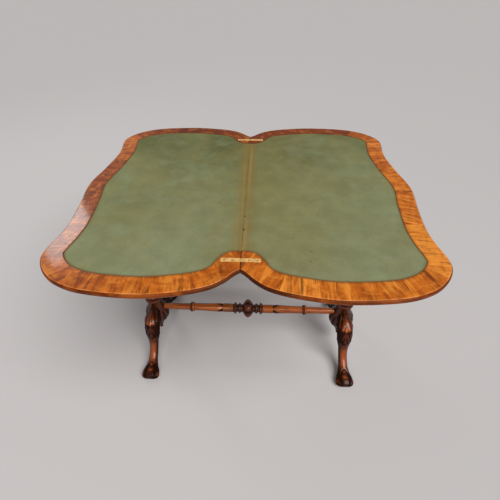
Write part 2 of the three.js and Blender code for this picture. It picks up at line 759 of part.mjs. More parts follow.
for (const [place, y] of [['near', -hingeY], ['far', hingeY]]) {
  const plate = surface(hingePlate(y));
  put(`${place}_plate_fixed`, plate, brass);
  put(`${place}_plate_folding`, mirrored(plate), brass);
  put(`${place}_hinge_link`, hingeLink(y), brass);
  put(`${place}_pin_fixed`, linkPin(linkPinSetback, y), brass);
  put(`${place}_pin_folding`, linkPin(-linkPinSetback, y), brass);
  screwPlaces.forEach((x, i) => {
    const screw = surface(slottedScrew(x, y));
    put(`${place}_screw_fixed_${i + 1}`, screw, brass);
    put(`${place}_screw_folding_${i + 1}`, mirrored(screw), brass);
  });
}

// The pivot and its stop
put('pivot_plate', pivotPlate(), iron);
put('pivot_bolt', pivotBolt(), iron);
put('pivot_washer', ringAround(washerTop - pivotWasherThickness, washerTop, pivotWasherRadius,
  pivotBoltRadius + fitGap, roundSides), iron);
put('pivot_nut', ringAround(nutTop - pivotNutHeight, nutTop, pivotNutRadius,
  pivotBoltRadius + fitGap, nutSides), iron);
pivotScrewPlaces.forEach(([x, y], i) => put(`pivot_screw_${i + 1}`, pivotScrew(x, y, 0), iron));
put('stop_dowel', stopDowel(), pine);

// The frame and the card well
for (const [name, rail] of Object.entries(rails())) put(name, rail, walnut);
put('pivot_bearer', pivotBearer(), pine);
put('well_partition', wellPartition(), pine);
put('well_board', wellBoard(), pine);
for (const [sideName, side] of [['left', -1], ['right', 1]]) {
  for (const [endName, end] of [['near', -1], ['far', 1]]) {
    put(`corner_block_${sideName}_${endName}`, cornerBlock(side, end), pine);
  }
}

// The end supports and the stretcher
for (const [sideName, side] of [['left', -1], ['right', 1]]) {
  put(`top_beam_${sideName}`, topBeam(side), darkWalnut);
  put(`pillar_${sideName}`, pillar(side), carvedWalnut);
  put(`drop_finial_${sideName}`, dropFinial(side), carvedWalnut);
  for (const [endName, end] of [['near', -1], ['far', 1]]) {
    put(`leg_${sideName}_${endName}`, leg(side, end), carvedWalnut);
    put(`leg_dowel_${sideName}_${endName}`, legDowel(side, end), pine);
  }
  put(`stretcher_rod_${sideName}`, stretcherRod(side), walnut);
}
put('stretcher_boss', stretcherBoss(), carvedWalnut);

export default table;
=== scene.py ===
# A serpentine walnut card table with its double top open: fine shapes and finishes over the CAD frame.
# Metres, +Z up. Sizes in the dictionaries are millimetres, as in the CAD part.
from math import cos, pi, radians, sin

import bpy
import numpy as np
from mathutils import Matrix, Vector


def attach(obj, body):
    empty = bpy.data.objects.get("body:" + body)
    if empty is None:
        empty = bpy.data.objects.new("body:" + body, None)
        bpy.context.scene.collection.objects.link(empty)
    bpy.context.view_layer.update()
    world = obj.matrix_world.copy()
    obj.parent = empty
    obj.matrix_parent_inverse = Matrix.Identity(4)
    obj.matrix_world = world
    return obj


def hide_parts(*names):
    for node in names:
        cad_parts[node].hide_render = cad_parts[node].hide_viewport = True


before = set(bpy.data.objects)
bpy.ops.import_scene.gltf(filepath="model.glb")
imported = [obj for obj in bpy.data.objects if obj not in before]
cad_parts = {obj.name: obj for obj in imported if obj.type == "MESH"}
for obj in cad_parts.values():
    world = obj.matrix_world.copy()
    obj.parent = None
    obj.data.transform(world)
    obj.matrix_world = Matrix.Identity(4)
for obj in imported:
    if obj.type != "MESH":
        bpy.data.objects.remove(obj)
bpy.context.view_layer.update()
print("stage: frame loaded")

mm = 0.001
rng = np.random.default_rng(7)


# A cubic through the points of a table: the slope at a point is the weighted harmonic mean of the
# rises beside it, and nothing where the table turns back, so necks stay round and nothing overshoots
def throughTable(places, values, wanted):
    places, values = np.asarray(places, float), np.asarray(values, float)
    gap = np.diff(places)
    rise = np.diff(values) / gap
    slope = np.zeros(len(values))
    a, b = 2 * gap[1:] + gap[:-1], gap[1:] + 2 * gap[:-1]
    same = rise[:-1] * rise[1:] > 0
    safe = np.where(same[:, None], np.stack([rise[:-1], rise[1:]], 1), 1.0)
    slope[1:-1] = np.where(same, (a + b) / (a / safe[:, 0] + b / safe[:, 1]), 0)
    slope[0], slope[-1] = rise[0], rise[-1]
    i = np.clip(np.searchsorted(places, wanted, side="right") - 1, 0, len(gap) - 1)
    t = (wanted - places[i]) / gap[i]
    h = gap[i]
    return (values[i] * (1 + 2 * t) * (1 - t) ** 2 + slope[i] * h * t * (1 - t) ** 2
            + values[i + 1] * t * t * (3 - 2 * t) + slope[i + 1] * h * t * t * (t - 1))


# The profile of a turned piece, pairs of radius share and place share, read at the wanted places
def profileRadii(piece, wanted):
    table = np.array(piece["profile"])
    return throughTable(table[:, 1], table[:, 0], wanted) * piece["radius"]
# A curve through points: each span is the cubic whose end slopes come from the neighbouring points,
# their gaps counted as distance to the given power (0 even, 0.5 centripetal)
def throughPoints(points, wanted, power):
    points = np.asarray(points, float)
    if power:
        first, last = 2 * points[0] - points[1], 2 * points[-1] - points[-2]
    else:
        first, last = points[0], points[-1]
    full = np.vstack([first, points, last])
    i = np.clip(np.floor(wanted).astype(int), 0, len(points) - 2)
    t = (wanted - i)[:, None]
    p0, p1, p2, p3 = full[i], full[i + 1], full[i + 2], full[i + 3]
    if power:
        spans = ((p0, p1), (p1, p2), (p2, p3))
        g0, g1, g2 = (np.linalg.norm(b - a, axis=1)[:, None] ** power for a, b in spans)
        s1 = ((p1 - p0) / g0 - (p2 - p0) / (g0 + g1) + (p2 - p1) / g1) * g1
        s2 = ((p2 - p1) / g1 - (p3 - p1) / (g1 + g2) + (p3 - p2) / g2) * g1
    else:
        s1, s2 = (p2 - p0) / 2, (p3 - p1) / 2
    return p1 + s1 * t + (3 * (p2 - p1) - 2 * s1 - s2) * t ** 2 + (2 * (p1 - p2) + s1 + s2) * t ** 3


# Nothing below low and one above high, three squares less two cubes of the share in between
def smoothStep(value, low, high):
    t = np.clip((value - low) / (high - low), 0, 1)
    return t * t * (3 - 2 * t)


# A bell: the exponential of minus the square of the offset over the width
def bell(offset, width):
    return np.exp(-(offset / width) ** 2)


# Narrow grooves between the lobes round a piece: one less a power of the cosine of half their angle
def lobeGroove(angle, lobes, power):
    return 1 - np.abs(np.cos(angle * lobes / 2)) ** power


# Volume by the sum of corner products: below nothing means that the faces look inwards
def facesOutward(points, faces):
    volume = 0
    for group in faces:
        a = points[group[:, 0]]
        for k in range(1, group.shape[1] - 1):
            b, c = points[group[:, k]], points[group[:, k + 1]]
            volume += np.einsum("ij,ij->i", a, np.cross(b, c)).sum()
    return faces if volume > 0 else [group[:, ::-1] for group in faces]


# A mesh of points in millimetres. With a material it also gets its body and CAD node.
def newPiece(name, points, faces, material=None, body=None, slot=None, node=None, sharp=40):
    mesh = bpy.data.meshes.new(name)
    faces = facesOutward(points, faces)
    mesh.from_pydata((points * mm).tolist(), [], [face for group in faces for face in group.tolist()])
    piece = bpy.data.objects.new(name, mesh)
    bpy.context.scene.collection.objects.link(piece)
    finishShading(piece, sharp)
    if material:
        finishPiece(piece, material, body, node)
    return piece


# The finish of a piece, the body that it moves with and the CAD node that it stands for
def finishPiece(piece, material, body, node):
    piece.data.materials.append(material)
    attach(piece, body)
    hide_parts(node)


# Smooth faces, with edges left sharp where the faces beside them turn by more than the angle
def finishShading(piece, sharp=40):
    mesh = piece.data
    mesh.polygons.foreach_set("use_smooth", np.ones(len(mesh.polygons), bool))
    mesh.set_sharp_from_angle(angle=radians(sharp))
    mesh.update()


# Quads between neighbouring rows of a grid, each row closed to a ring
def ringQuads(rows, around):
    r, k = np.meshgrid(np.arange(rows - 1), np.arange(around), indexing="ij")
    n = (k + 1) % around
    corners = [r * around + k, r * around + n, (r + 1) * around + n, (r + 1) * around + k]
    return np.stack(corners, -1).reshape(-1, 4)


# A grid of rings (rows by places round) joined by quads, each end closed with a fan to its middle
def closedTube(rings):
    rows, sides = rings.shape[:2]
    points = np.vstack([rings.reshape(-1, 3), rings[0].mean(0), rings[-1].mean(0)])
    k = np.arange(sides)
    n = (k + 1) % sides
    low = np.stack([np.full(sides, rows * sides), n, k], 1)
    end = (rows - 1) * sides
    high = np.stack([np.full(sides, rows * sides + 1), end + k, end + n], 1)
    return points, [ringQuads(rows, sides), low, high]


# Stacked copies of a flat outline: quads between the levels, one many-sided face at each end
def stackedOutline(rows):
    levels, count = rows.shape[:2]
    ends = [np.arange(count)[None, ::-1], (np.arange(count) + (levels - 1) * count)[None]]
    return rows.reshape(-1, 3), [ringQuads(levels, count), *ends]


# A flat outline with the level as the third coordinate of each point
def atLevel(outline, level):
    return np.column_stack([outline, np.full(len(outline), level)])


# Points round a middle: x and y follow the cosine and the sine of each turn
def arc(x, y, radius, turns):
    return np.column_stack([x + radius * np.cos(turns), y + radius * np.sin(turns)])


# Plain solids that cut or trim the pieces: an outline between two levels, a box, an upright cylinder
def prism(outline, z0, z1):
    return newPiece("tool", *stackedOutline(np.stack([atLevel(outline, z0), atLevel(outline, z1)])))


def block(x0, x1, y0, y1, z0, z1):
    return prism(np.array([[x0, y0], [x1, y0], [x1, y1], [x0, y1]], float), z0, z1)


def upright(x, y, z0, z1, radius, sides=48):
    return prism(arc(x, y, radius, np.linspace(0, 2 * pi, sides, endpoint=False)), z0, z1)


# Cuts, joins or trims a piece with tools, and keeps the plain result
def shapeWith(piece, tools, operation="DIFFERENCE", sharp=40):
    for tool in tools:
        step = piece.modifiers.new("step", "BOOLEAN")
        step.object, step.operation, step.solver = tool, operation, "EXACT"
    graph = bpy.context.evaluated_depsgraph_get()
    made = bpy.data.meshes.new_from_object(piece.evaluated_get(graph))
    piece.modifiers.clear()
    old, name = piece.data, piece.data.name
    piece.data = made
    bpy.data.meshes.remove(old)
    made.name = name
    for tool in tools:
        bpy.data.meshes.remove(tool.data)
    finishShading(piece, sharp)
    return piece


# One number for each point, or corner, stored under a name for the materials
def setAttribute(piece, name, values, domain="POINT"):
    layer = piece.data.attributes.new(name, "FLOAT", domain)
    layer.data.foreach_set("value", np.asarray(values, np.float32).ravel())


# Dirt and painted shade in the hollows, wear and painted highlights on the heights. The two points that close
# a tube have neither.
def setDirtShadeAndWear(piece, shadeAndDirt, wearAndHighlight):
    for name, values in (("shadeAndDirt", shadeAndDirt), ("wearAndHighlight", wearAndHighlight)):
        values = np.clip(values, 0, 1).ravel()
        setAttribute(piece, name, np.pad(values, (0, len(piece.data.vertices) - len(values))))


# Rings of a piece turned about Z: a radius at each level, swollen by a function of angle and level
def turnedRings(radii, levels, sides, swell=None):
    angle = np.linspace(0, 2 * pi, sides, endpoint=False)[None]
    radius = np.asarray(radii, float)[:, None] * np.ones_like(angle)
    level = np.asarray(levels, float)[:, None] * np.ones_like(angle)
    if swell:
        radius = radius * swell(angle, level)
    return np.stack([radius * np.cos(angle), radius * np.sin(angle), level], -1)


# A plain round bar as two rings
def barRings(radius, start, end, sides):
    return turnedRings([radius] * 2, [start, end], sides)


# The same rings laid down along X
def laidAlongX(rings):
    return np.stack([rings[..., 2], rings[..., 0], rings[..., 1]], -1)


# Points with x times the side, which is 1 or -1
def mirroredX(points, side):
    return points * [side, 1, 1]


# Screen colour to the light that it stands for: the 2.4th power, straight near black
def colour(red, green, blue):
    share = np.array([red, green, blue]) / 255
    linear = np.where(share <= 0.04045, share / 12.92, ((share + 0.055) / 1.055) ** 2.4)
    return (*linear.tolist(), 1.0)


# A material and its shader, with plain values set on the named sockets
def newMaterial(name, **sockets):
    material = bpy.data.materials.new(name)
    material.use_nodes = True
    shader = material.node_tree.nodes["Principled BSDF"]
    for socket, value in sockets.items():
        shader.inputs[socket.replace("_", " ")].default_value = value
    return material, shader


# A node whose sockets take plain values or the outputs of other nodes
def addNode(tree, kind, inputs=None, **settings):
    node = tree.nodes.new("ShaderNode" + kind)
    for name, value in settings.items():
        setattr(node, name, value)
    for socket, value in (inputs or {}).items():
        if isinstance(value, bpy.types.NodeSocket):
            tree.links.new(value, node.inputs[socket])
        else:
            node.inputs[socket].default_value = value
    return node


# The same value for red, green and blue
def grey(value):
    return (value, value, value, 1)


# Colours by the factor: each stop is a place and its colour, with even blends in between
def ramp(tree, factor, stops):
    node = addNode(tree, "ValToRGB", {0: factor})
    edges = node.color_ramp.elements
    edges[0].position, edges[0].color = stops[0]
    edges[1].position, edges[1].color = stops[-1]
    for place, tint in stops[1:-1]:
        edges.new(place).color = tint
    return node.outputs[0]


# A grey, or a plain number, that runs evenly from one value to the other between two factors
def greyRamp(tree, factor, low, high, start, end):
    return ramp(tree, factor, [(low, grey(start)), (high, grey(end))])


def mapRange(tree, value, low, high, start, end):
    return addNode(tree, "MapRange", {0: value, 1: low, 2: high, 3: start, 4: end}).outputs[0]


# Sums on numbers: any operation, and a times b as its most used kind
def maths(tree, operation, a, b=0.0, c=0.0):
    return addNode(tree, "Math", {0: a, 1: b, 2: c}, operation=operation).outputs[0]


def times(tree, a, b):
    return maths(tree, "MULTIPLY", a, b)


# Value x factor + offset
def scaled(tree, value, factor, offset):
    return maths(tree, "MULTIPLY_ADD", value, factor, offset)


# The first colour less the share, plus the share of the second one or of their product
def blendColours(tree, share, first, second, kind="MIX"):
    inputs = {0: share, 6: first, 7: second}
    return addNode(tree, "Mix", inputs, data_type="RGBA", blend_type=kind).outputs[2]


# A colour multiplied by a grey that runs from one value to the other between two factors
def shaded(tree, base, factor, span):
    return blendColours(tree, 1.0, base, greyRamp(tree, factor, *span), "MULTIPLY")


# Soft noise from nothing to one at a place
def noise(tree, place, scale, detail, rough, twist=0.0):
    return addNode(tree, "TexNoise", {"Vector": place, "Scale": scale, "Detail": detail,
                                      "Roughness": rough, "Distortion": twist}).outputs[0]


# Noise drawn out by a scale along each axis
def figured(tree, place, scales, *look):
    drawnOut = addNode(tree, "Mapping", {"Vector": place, "Scale": tuple(scales)}).outputs[0]
    return noise(tree, drawnOut, 1, *look)


# The place on the object in metres, and a stored number by its name
def objectPlace(tree):
    return addNode(tree, "TexCoord").outputs["Object"]


def attribute(tree, name):
    return addNode(tree, "Attribute", attribute_name=name).outputs["Fac"]


# The finished colour, a bump as deep and strong as given, and the roughness go to the shader
def connect(tree, shader, base, height, bump, rough=None):
    tree.links.new(base, shader.inputs["Base Color"])
    raised = addNode(tree, "Bump", {"Height": height, "Distance": bump[0], "Strength": bump[1]})
    tree.links.new(raised.outputs[0], shader.inputs["Normal"])
    if rough:
        tree.links.new(rough, shader.inputs["Roughness"])


# A span is two factors, with the two values that go with them where those are fixed. A scale and the
# numbers after it are a noise's scale, detail, roughness and twist; a bump is its depth and strength.
warm = (1, 0.72, 0.5, 1)  # tint of the shine on polished walnut
# In wood the grime keys set dirt and painted shade in hollows, the worn share wear and painted highlights,
# the edge keys painted shade on edges that turn from the view, and the joint span painted shade beside the
# joint.
wood = dict(
    broadScale=18, broad=(3, 0.6, 0.8), streakScale=75, streak=(4, 0.6, 0.5), poreScale=520, pores=(2, 0.6),
    bands=(0.3, 0.5, 0.72), lineSpan=(0.36, 0.52, 1, 0), poreSpan=(0.33, 0.5, 0.55, 1),
    poreBump=(0.0002, 0.35), jointShadeSpan=(0.04, 0.13), roughSpread=0.12, roughMiddle=0.06,
    grimeShadeSpan=(0.1, 0.85, 0, 1), grimeShadeShare=0.88, wearHighlightShare=0.6, edgeShadeBlend=0.35, edgeShadePower=0.95,
    edgeShadeShare=0.9, recessRough=0.3, grimeShadeDull=0.85,
)


# Polished walnut: broad bands, dark streaks and fine pores, all drawn out along the grain. A carved
# piece also has grime and painted shade in its hollows, wear and painted highlights on its heights, and
# painted shade on its edges as they turn from the view, where its shine is dulled too; joint paints
# shade beside the joint.
def walnut(name, tones, grain, gloss, streaks, carved=False, fine=1.0, joint=0.0):
    material, shader = newMaterial(name, Coat_Weight=gloss["coat"], Coat_Roughness=gloss["coatRough"],
                                   Specular_IOR_Level=gloss["specular"], Specular_Tint=warm)
    tree = material.node_tree
    place, grain = objectPlace(tree), np.array(grain)
    broad = figured(tree, place, grain * wood["broadScale"], *wood["broad"])
    streak = figured(tree, place, grain * wood["streakScale"], *wood["streak"])
    pores = figured(tree, place, grain * wood["poreScale"] * fine, *wood["pores"])
    base = ramp(tree, broad, list(zip(wood["bands"], (tones["dark"], tones["middle"], tones["light"]))))
    lines = times(tree, greyRamp(tree, streak, *wood["lineSpan"]), streaks)
    base = blendColours(tree, lines, base, tones["streak"])
    base = shaded(tree, base, pores, wood["poreSpan"])
    # painted shade: the streak colour darkens the moulding beside the joint, over the arches
    if joint:
        x = maths(tree, "ABSOLUTE", addNode(tree, "SeparateXYZ", {0: place}).outputs[0])
        base = blendColours(tree, mapRange(tree, x, *wood["jointShadeSpan"], joint, 0.0), base, tones["streak"])
    if carved:
        recess = attribute(tree, "shadeAndDirt")
        # dirt and painted shade in the hollows, from the stored amount
        grimeAndShade = greyRamp(tree, recess, *wood["grimeShadeSpan"])
        base = blendColours(tree, times(tree, grimeAndShade, wood["grimeShadeShare"]), base, tones["recess"])
        # wear and painted highlights on the heights
        wearAndHighlight = times(tree, attribute(tree, "wearAndHighlight"), wood["wearHighlightShare"])
        base = blendColours(tree, wearAndHighlight, base, tones["wearAndHighlight"])
        # painted shade: the colour darkens towards the recess tone as the surface turns away from the view
        facing = addNode(tree, "LayerWeight", {"Blend": wood["edgeShadeBlend"]}).outputs["Facing"]
        edge = times(tree, maths(tree, "POWER", facing, wood["edgeShadePower"]), wood["edgeShadeShare"])
        base = blendColours(tree, edge, base, tones["recess"])
        rough = scaled(tree, recess, wood["recessRough"], gloss["rough"])
        dull = maths(tree, "MAXIMUM", times(tree, grimeAndShade, wood["grimeShadeDull"]), edge)
        for socket, full in (("Coat Weight", gloss["coat"]), ("Specular IOR Level", gloss["specular"])):
            tree.links.new(scaled(tree, dull, -full, full), shader.inputs[socket])
    else:
        rough = scaled(tree, broad, wood["roughSpread"], gloss["rough"] - wood["roughMiddle"])
    connect(tree, shader, base, pores, wood["poreBump"], rough)
    return material


veneer = dict(
    wave=((46, 9, 1), 3, 0.6, 0.7), streak=((90, 9, 1), 5, 0.7, 0.5), fine=((520, 24, 1), 3, 0.6),
    figure=((26, 48, 1), 3, 0.55, 0.9), patches=((11, 7, 1), 2, 0.5, 0.4), cleanSpan=(0.42, 0.56, 0.2, 1),
    # farShadeSpan, farShadeCalm and farShadeShare set the painted shade of the far side
    farShadeSpan=(0.3, 0.36, 0.0, 1.0), farShadeCalm=0.6, farShadeShare=0.4, waveSpread=(1.8, -0.9), contrast=0.66,
    bands=(0.0, 0.45, 0.8, 1.0), lineSpan=(0.36, 0.5, 1, 0), lineFade=(-0.3, 1.0), brightShare=0.45,
    brightSpan=(0.5, 0.68, 0, 1), shadeSpan=(0.3, 0.46, 1, 0), shadeShare=0.4, fineSpan=(0.32, 0.5, 0.6, 1),
    rimShare=0.75, arrisWearAndHighlight=(1.4, -0.35), rough=(0.15, 0.3), coatSpan=(-0.44, -0.2, 0.5, 0.13),
    fineBump=(0.00015, 0.3), coatRough=0.1, specular=0.06,
)


# Crossbanding: the same walnut drawn on each veneer's own map, so that the grain runs across the
# band. Painted shade darkens its far side, where its contrast also falls, and its coat falls from the left
# side on.
def bandingWalnut(tones):
    material, shader = newMaterial("bandingWalnut", Coat_Roughness=veneer["coatRough"],
                                   Specular_IOR_Level=veneer["specular"], Specular_Tint=warm)
    tree = material.node_tree
    place = addNode(tree, "UVMap", uv_map="veneer").outputs[0]
    toneWithPaintedLight, arris, rim = (attribute(tree, layer) for layer in ("toneWithPaintedLight", "arris", "rim"))
    kinds = ("wave", "streak", "fine", "figure", "patches")
    wave, streak, fine, figure, patches = (figured(tree, place, *veneer[kind]) for kind in kinds)
    where = addNode(tree, "SeparateXYZ", {0: objectPlace(tree)})
    # painted shade: the far side darkens towards the far colour, with less contrast
    far = mapRange(tree, where.outputs[1], *veneer["farShadeSpan"])
    calm = scaled(tree, far, -veneer["farShadeCalm"], 1.0)
    clean = greyRamp(tree, patches, *veneer["cleanSpan"])
    spread = times(tree, scaled(tree, wave, *veneer["waveSpread"]), times(tree, calm, veneer["contrast"]))
    stops = zip(veneer["bands"], (tones["dark"], tones["middle"], tones["light"], tones["bright"]))
    base = ramp(tree, maths(tree, "ADD", spread, toneWithPaintedLight), list(stops))
    share = times(tree, greyRamp(tree, streak, *veneer["lineSpan"]), scaled(tree, toneWithPaintedLight, *veneer["lineFade"]))
    base = blendColours(tree, times(tree, share, times(tree, clean, calm)), base, tones["streak"])
    for kind in ("bright", "shade"):
        share = times(tree, greyRamp(tree, figure, *veneer[kind + "Span"]), veneer[kind + "Share"])
        base = blendColours(tree, share, base, tones[kind])
    base = blendColours(tree, times(tree, far, veneer["farShadeShare"]), base, tones["far"])
    base = shaded(tree, base, fine, veneer["fineSpan"])
    base = blendColours(tree, times(tree, rim, veneer["rimShare"]), base, tones["rim"])
    # wear and a painted highlight along the arris
    share = times(tree, arris, scaled(tree, figure, *veneer["arrisWearAndHighlight"]))
    base = blendColours(tree, share, base, tones["arris"])
    coat = mapRange(tree, where.outputs[0], *veneer["coatSpan"])
    tree.links.new(times(tree, coat, calm), shader.inputs["Coat Weight"])
    connect(tree, shader, base, fine, veneer["fineBump"], scaled(tree, streak, *veneer["rough"]))
    return material


baize = dict(
    green=colour(127, 131, 98), middle=colour(120, 121, 82), olive=colour(86, 88, 52),
    cool=colour(123, 133, 102), brown=colour(122, 112, 66), border=colour(100, 74, 38),
    stain=colour(124, 100, 48), rubbed=colour(172, 134, 66), dirt=colour(48, 40, 26),
    sheen=colour(150, 156, 120), broad=(4.5, 3, 0.55), patch=(22, 4, 0.6), cloud=(9, 4, 0.6, 0.8),
    fibres=(900, 3, 0.7, 1.5), rub=((330, 3, 1), 3, 0.6), nap=((240, 420, 1), 3, 0.65, 0.8),
    slope=(0.75, 0.5), slopeShare=0.55, broadShare=0.45, bands=(0.3, 0.5, 0.7), coolSpan=(0.5, 0.66, 0, 1),
    coolShare=0.35, brownSpan=(0.34, 0.48, 1, 0), brownShare=0.22, besidePlace=0.08,
    besideSpan=(0.02, 0.2, 0.35, 0.0), patchSpan=(0.35, 0.65, 0.91, 1.08), wander=(0.02, -0.01),
    stainSpan=(0.004, 0.036, 0.8, 0.0), stainPatches=(0.8, 0.3), rubSpan=(0.52, 0.6, 0, 1),
    rubReach=(0.002, 0.024, 0.5, 0.0), borderShare=0.85, napSpan=(0.3, 0.7, 0.9, 1.08),
    fibreBump=(0.0004, 0.6), markLevel=0.7396, markCore=0.3,  # a mark: place, radius, how dark
    marks=[((1.7, -148.4), 4, 0.8), ((1.2, -202.5), 5, 0.85), ((-71.6, -86.9), 3, 0.8),
           ((160.1, -276.8), 3, 0.7), ((153.5, -309.4), 3, 0.6), ((120.6, -230.5), 3, 0.5)],
)


# Worn baize: felted fibres, faded and olive patches, a yellow-brown stain and rubbed lines at the joint
def wornBaize(look):
    material, shader = newMaterial("wornBaize", Roughness=0.95, Specular_IOR_Level=0.15, Sheen_Weight=0.12,
                                   Sheen_Roughness=0.6, Sheen_Tint=look["sheen"])
    tree = material.node_tree
    place = objectPlace(tree)
    axes = addNode(tree, "SeparateXYZ", {0: place})
    x, y = axes.outputs[0], axes.outputs[1]
    kinds = ("broad", "patch", "cloud", "fibres")
    broad, patch, cloud, fibres = (noise(tree, place, *look[kind]) for kind in kinds)
    slope = times(tree, scaled(tree, y, *look["slope"]), look["slopeShare"])
    share = maths(tree, "ADD", slope, times(tree, broad, look["broadShare"]))
    base = ramp(tree, share, list(zip(look["bands"], (look["green"], look["middle"], look["olive"]))))
    for kind in ("cool", "brown"):
        share = times(tree, greyRamp(tree, cloud, *look[kind + "Span"]), look[kind + "Share"])
        base = blendColours(tree, share, base, look[kind])
    beside = maths(tree, "ABSOLUTE", maths(tree, "SUBTRACT", x, look["besidePlace"]))
    base = blendColours(tree, mapRange(tree, beside, *look["besideSpan"]), base, look["brown"])
    base = shaded(tree, base, patch, look["patchSpan"])
    away = maths(tree, "ABSOLUTE", maths(tree, "ADD", x, scaled(tree, patch, *look["wander"])))
    patches = scaled(tree, broad, *look["stainPatches"])
    stain = times(tree, mapRange(tree, away, *look["stainSpan"]), patches)
    base = blendColours(tree, stain, base, look["stain"])
    rubbed = greyRamp(tree, figured(tree, place, *look["rub"]), *look["rubSpan"])
    rubbed = times(tree, rubbed, mapRange(tree, away, *look["rubReach"]))
    base = blendColours(tree, rubbed, base, look["rubbed"])
    border = times(tree, attribute(tree, "border"), look["borderShare"])
    base = blendColours(tree, border, base, look["border"])
    for (markX, markY), radius, dark in look["marks"]:
        middle = (markX * mm, markY * mm, look["markLevel"])
        spot = addNode(tree, "VectorMath", {0: place, 1: middle}, operation="DISTANCE").outputs[1]
        mark = mapRange(tree, spot, radius * look["markCore"] * mm, radius * mm, dark, 0.0)
        base = blendColours(tree, mark, base, look["dirt"])
    base = shaded(tree, base, figured(tree, place, *look["nap"]), look["napSpan"])
    connect(tree, shader, base, fibres, look["fibreBump"])
    return material


metals = dict(cloud=(90, 4, 0.6), scratch=((60, 900, 200), 3, 0.6), span=(0.35, 0.6), scratchRough=0.25,
              scratchBump=(0.00008, 0.4))


# Old metal: clouds between the tarnished and the clean colour, with long scratches in its roughness
def metal(name, tarnish, clean, rough, metallic):
    material, shader = newMaterial(name, Metallic=metallic, Specular_IOR_Level=0.5)
    tree = material.node_tree
    place = objectPlace(tree)
    scratch = figured(tree, place, *metals["scratch"])
    base = ramp(tree, noise(tree, place, *metals["cloud"]), list(zip(metals["span"], (tarnish, clean))))
    rough = scaled(tree, scratch, metals["scratchRough"], rough)
    connect(tree, shader, base, scratch, metals["scratchBump"], rough)
    return material


# In each set recess is the colour of dirt and painted shade and worn that of wear and painted highlights; in
# the banding, far is the painted shade of the far side and arris the wear and painted highlight on the arris.
walnutTones = {
    "banding": dict(dark=colour(50, 22, 10), middle=colour(136, 60, 14), light=colour(192, 100, 26),
                    bright=colour(228, 140, 52), streak=colour(74, 29, 9), shade=colour(112, 48, 18),
                    arris=colour(240, 156, 92), rim=colour(92, 50, 22), far=colour(98, 36, 18)),
    "moulding": dict(dark=colour(80, 34, 11), middle=colour(124, 56, 17), light=colour(164, 84, 30),
                     streak=colour(54, 23, 8)),
    "turned": dict(dark=colour(120, 54, 18), middle=colour(172, 86, 32), light=colour(210, 118, 52),
                   streak=colour(80, 33, 13), recess=colour(24, 8, 4), wearAndHighlight=colour(216, 132, 66)),
    "carved": dict(dark=colour(60, 22, 9), middle=colour(96, 38, 14), light=colour(132, 58, 23),
                   streak=colour(52, 20, 8), recess=colour(15, 6, 3), wearAndHighlight=colour(206, 104, 44)),
    "dark": dict(dark=colour(50, 20, 9), middle=colour(82, 34, 15), light=colour(112, 50, 22),
                 streak=colour(42, 16, 7), recess=colour(14, 6, 3), wearAndHighlight=colour(140, 66, 34)),
    "rails": dict(dark=colour(112, 54, 20), middle=colour(156, 82, 30), light=colour(190, 110, 46),
                  streak=colour(82, 38, 16)),
    "pine": dict(dark=colour(128, 92, 54), middle=colour(158, 118, 72), light=colour(178, 138, 90),
                 streak=colour(112, 76, 44)),
}
polish = dict(coat=0.03, coatRough=0.1, specular=0.08, rough=0.24)
waxed = dict(coat=0.6, coatRough=0.09, specular=0.12, rough=0.26)
shiny = dict(coat=0.6, coatRough=0.16, specular=0.2, rough=0.26)
bare = dict(coat=0.0, coatRough=0.3, specular=0.12, rough=0.7)

bandingMaterial = bandingWalnut(walnutTones["banding"])
# the moulding gets painted shade beside the joint
mouldingMaterial = walnut("mouldingWalnut", walnutTones["moulding"], (0.6, 0.6, 1.6), polish, 0.4, joint=0.7)
rodMaterial = walnut("rodWalnut", walnutTones["turned"], (0.12, 1, 1), shiny, 0.45, carved=True)
pillarMaterial = walnut("pillarWalnut", walnutTones["dark"], (1, 1, 0.12), waxed, 0.4, carved=True)
carvedMaterial = walnut("carvedWalnut", walnutTones["carved"], (1, 1, 0.3), waxed, 0.6, carved=True)
railMaterial = walnut("railWalnut", walnutTones["rails"], (1, 1, 0.15), polish, 0.45)
beamMaterial = walnut("beamWalnut", walnutTones["moulding"], (1, 0.12, 1), polish, 0.4)
pineMaterial = walnut("insidePine", walnutTones["pine"], (1, 0.12, 1), bare, 0.35, fine=0.6)
baizeMaterial = wornBaize(baize)
brassMaterial = metal("agedBrass", colour(214, 158, 88), colour(255, 206, 128), rough=0.24, metallic=0.5)
screwMaterial = metal("darkBrass", colour(160, 112, 62), colour(214, 164, 98), rough=0.3, metallic=0.6)
ironMaterial = metal("blackIron", colour(48, 42, 38), colour(78, 74, 70), rough=0.5, metallic=0.9)
print("stage: materials")


leaf = dict(
    height=740, depth=468, length=832, thickness=16, edge=3.5, veneer=1.5, baize=1.1, jointGap=0.6,
    band=48, archDepth=56, archHalfWidth=58, archRound=0.8, archSteps=40, glueGap=0.2, steps=420,
    outline=[[0, .809], [.03, .836], [.075, .887], [.145, .937], [.272, .976], [.46, 1], [.694, .98],
             [.83, .931], [.915, .86], [.966, .775], [.976, .7], [.957, .565], [.952, .44], [.972, .23],
             [.993, .09], [1, 0]],
    fineSteps=6000, foldSlack=0.01, kink=5, bevel=0.8, bevelReach=500,
    moulding=[[0, 0], [.65, .07], [1, .3], [.9, .58], [.35, .8], [-.3, 1]],
    mouldingStart=0.02, mouldingRows=15,
)
jointFace = leaf["jointGap"] / 2
undersideLevel = leaf["height"] - leaf["thickness"]
boardLevel = leaf["height"] - leaf["veneer"] - leaf["glueGap"]
tipReach = leaf["outline"][0][1] * leaf["length"] / 2
over = 5  # how far a cutting tool stands out of the piece


# The distance run along a line, from its start to each point
def runAlong(line):
    return np.r_[0, np.cumsum(np.linalg.norm(np.diff(line, axis=0), axis=1))]


# Both columns of a line read at the wanted places
def columnsAt(wanted, places, line):
    return np.column_stack([np.interp(wanted, places, line[:, i]) for i in range(2)])


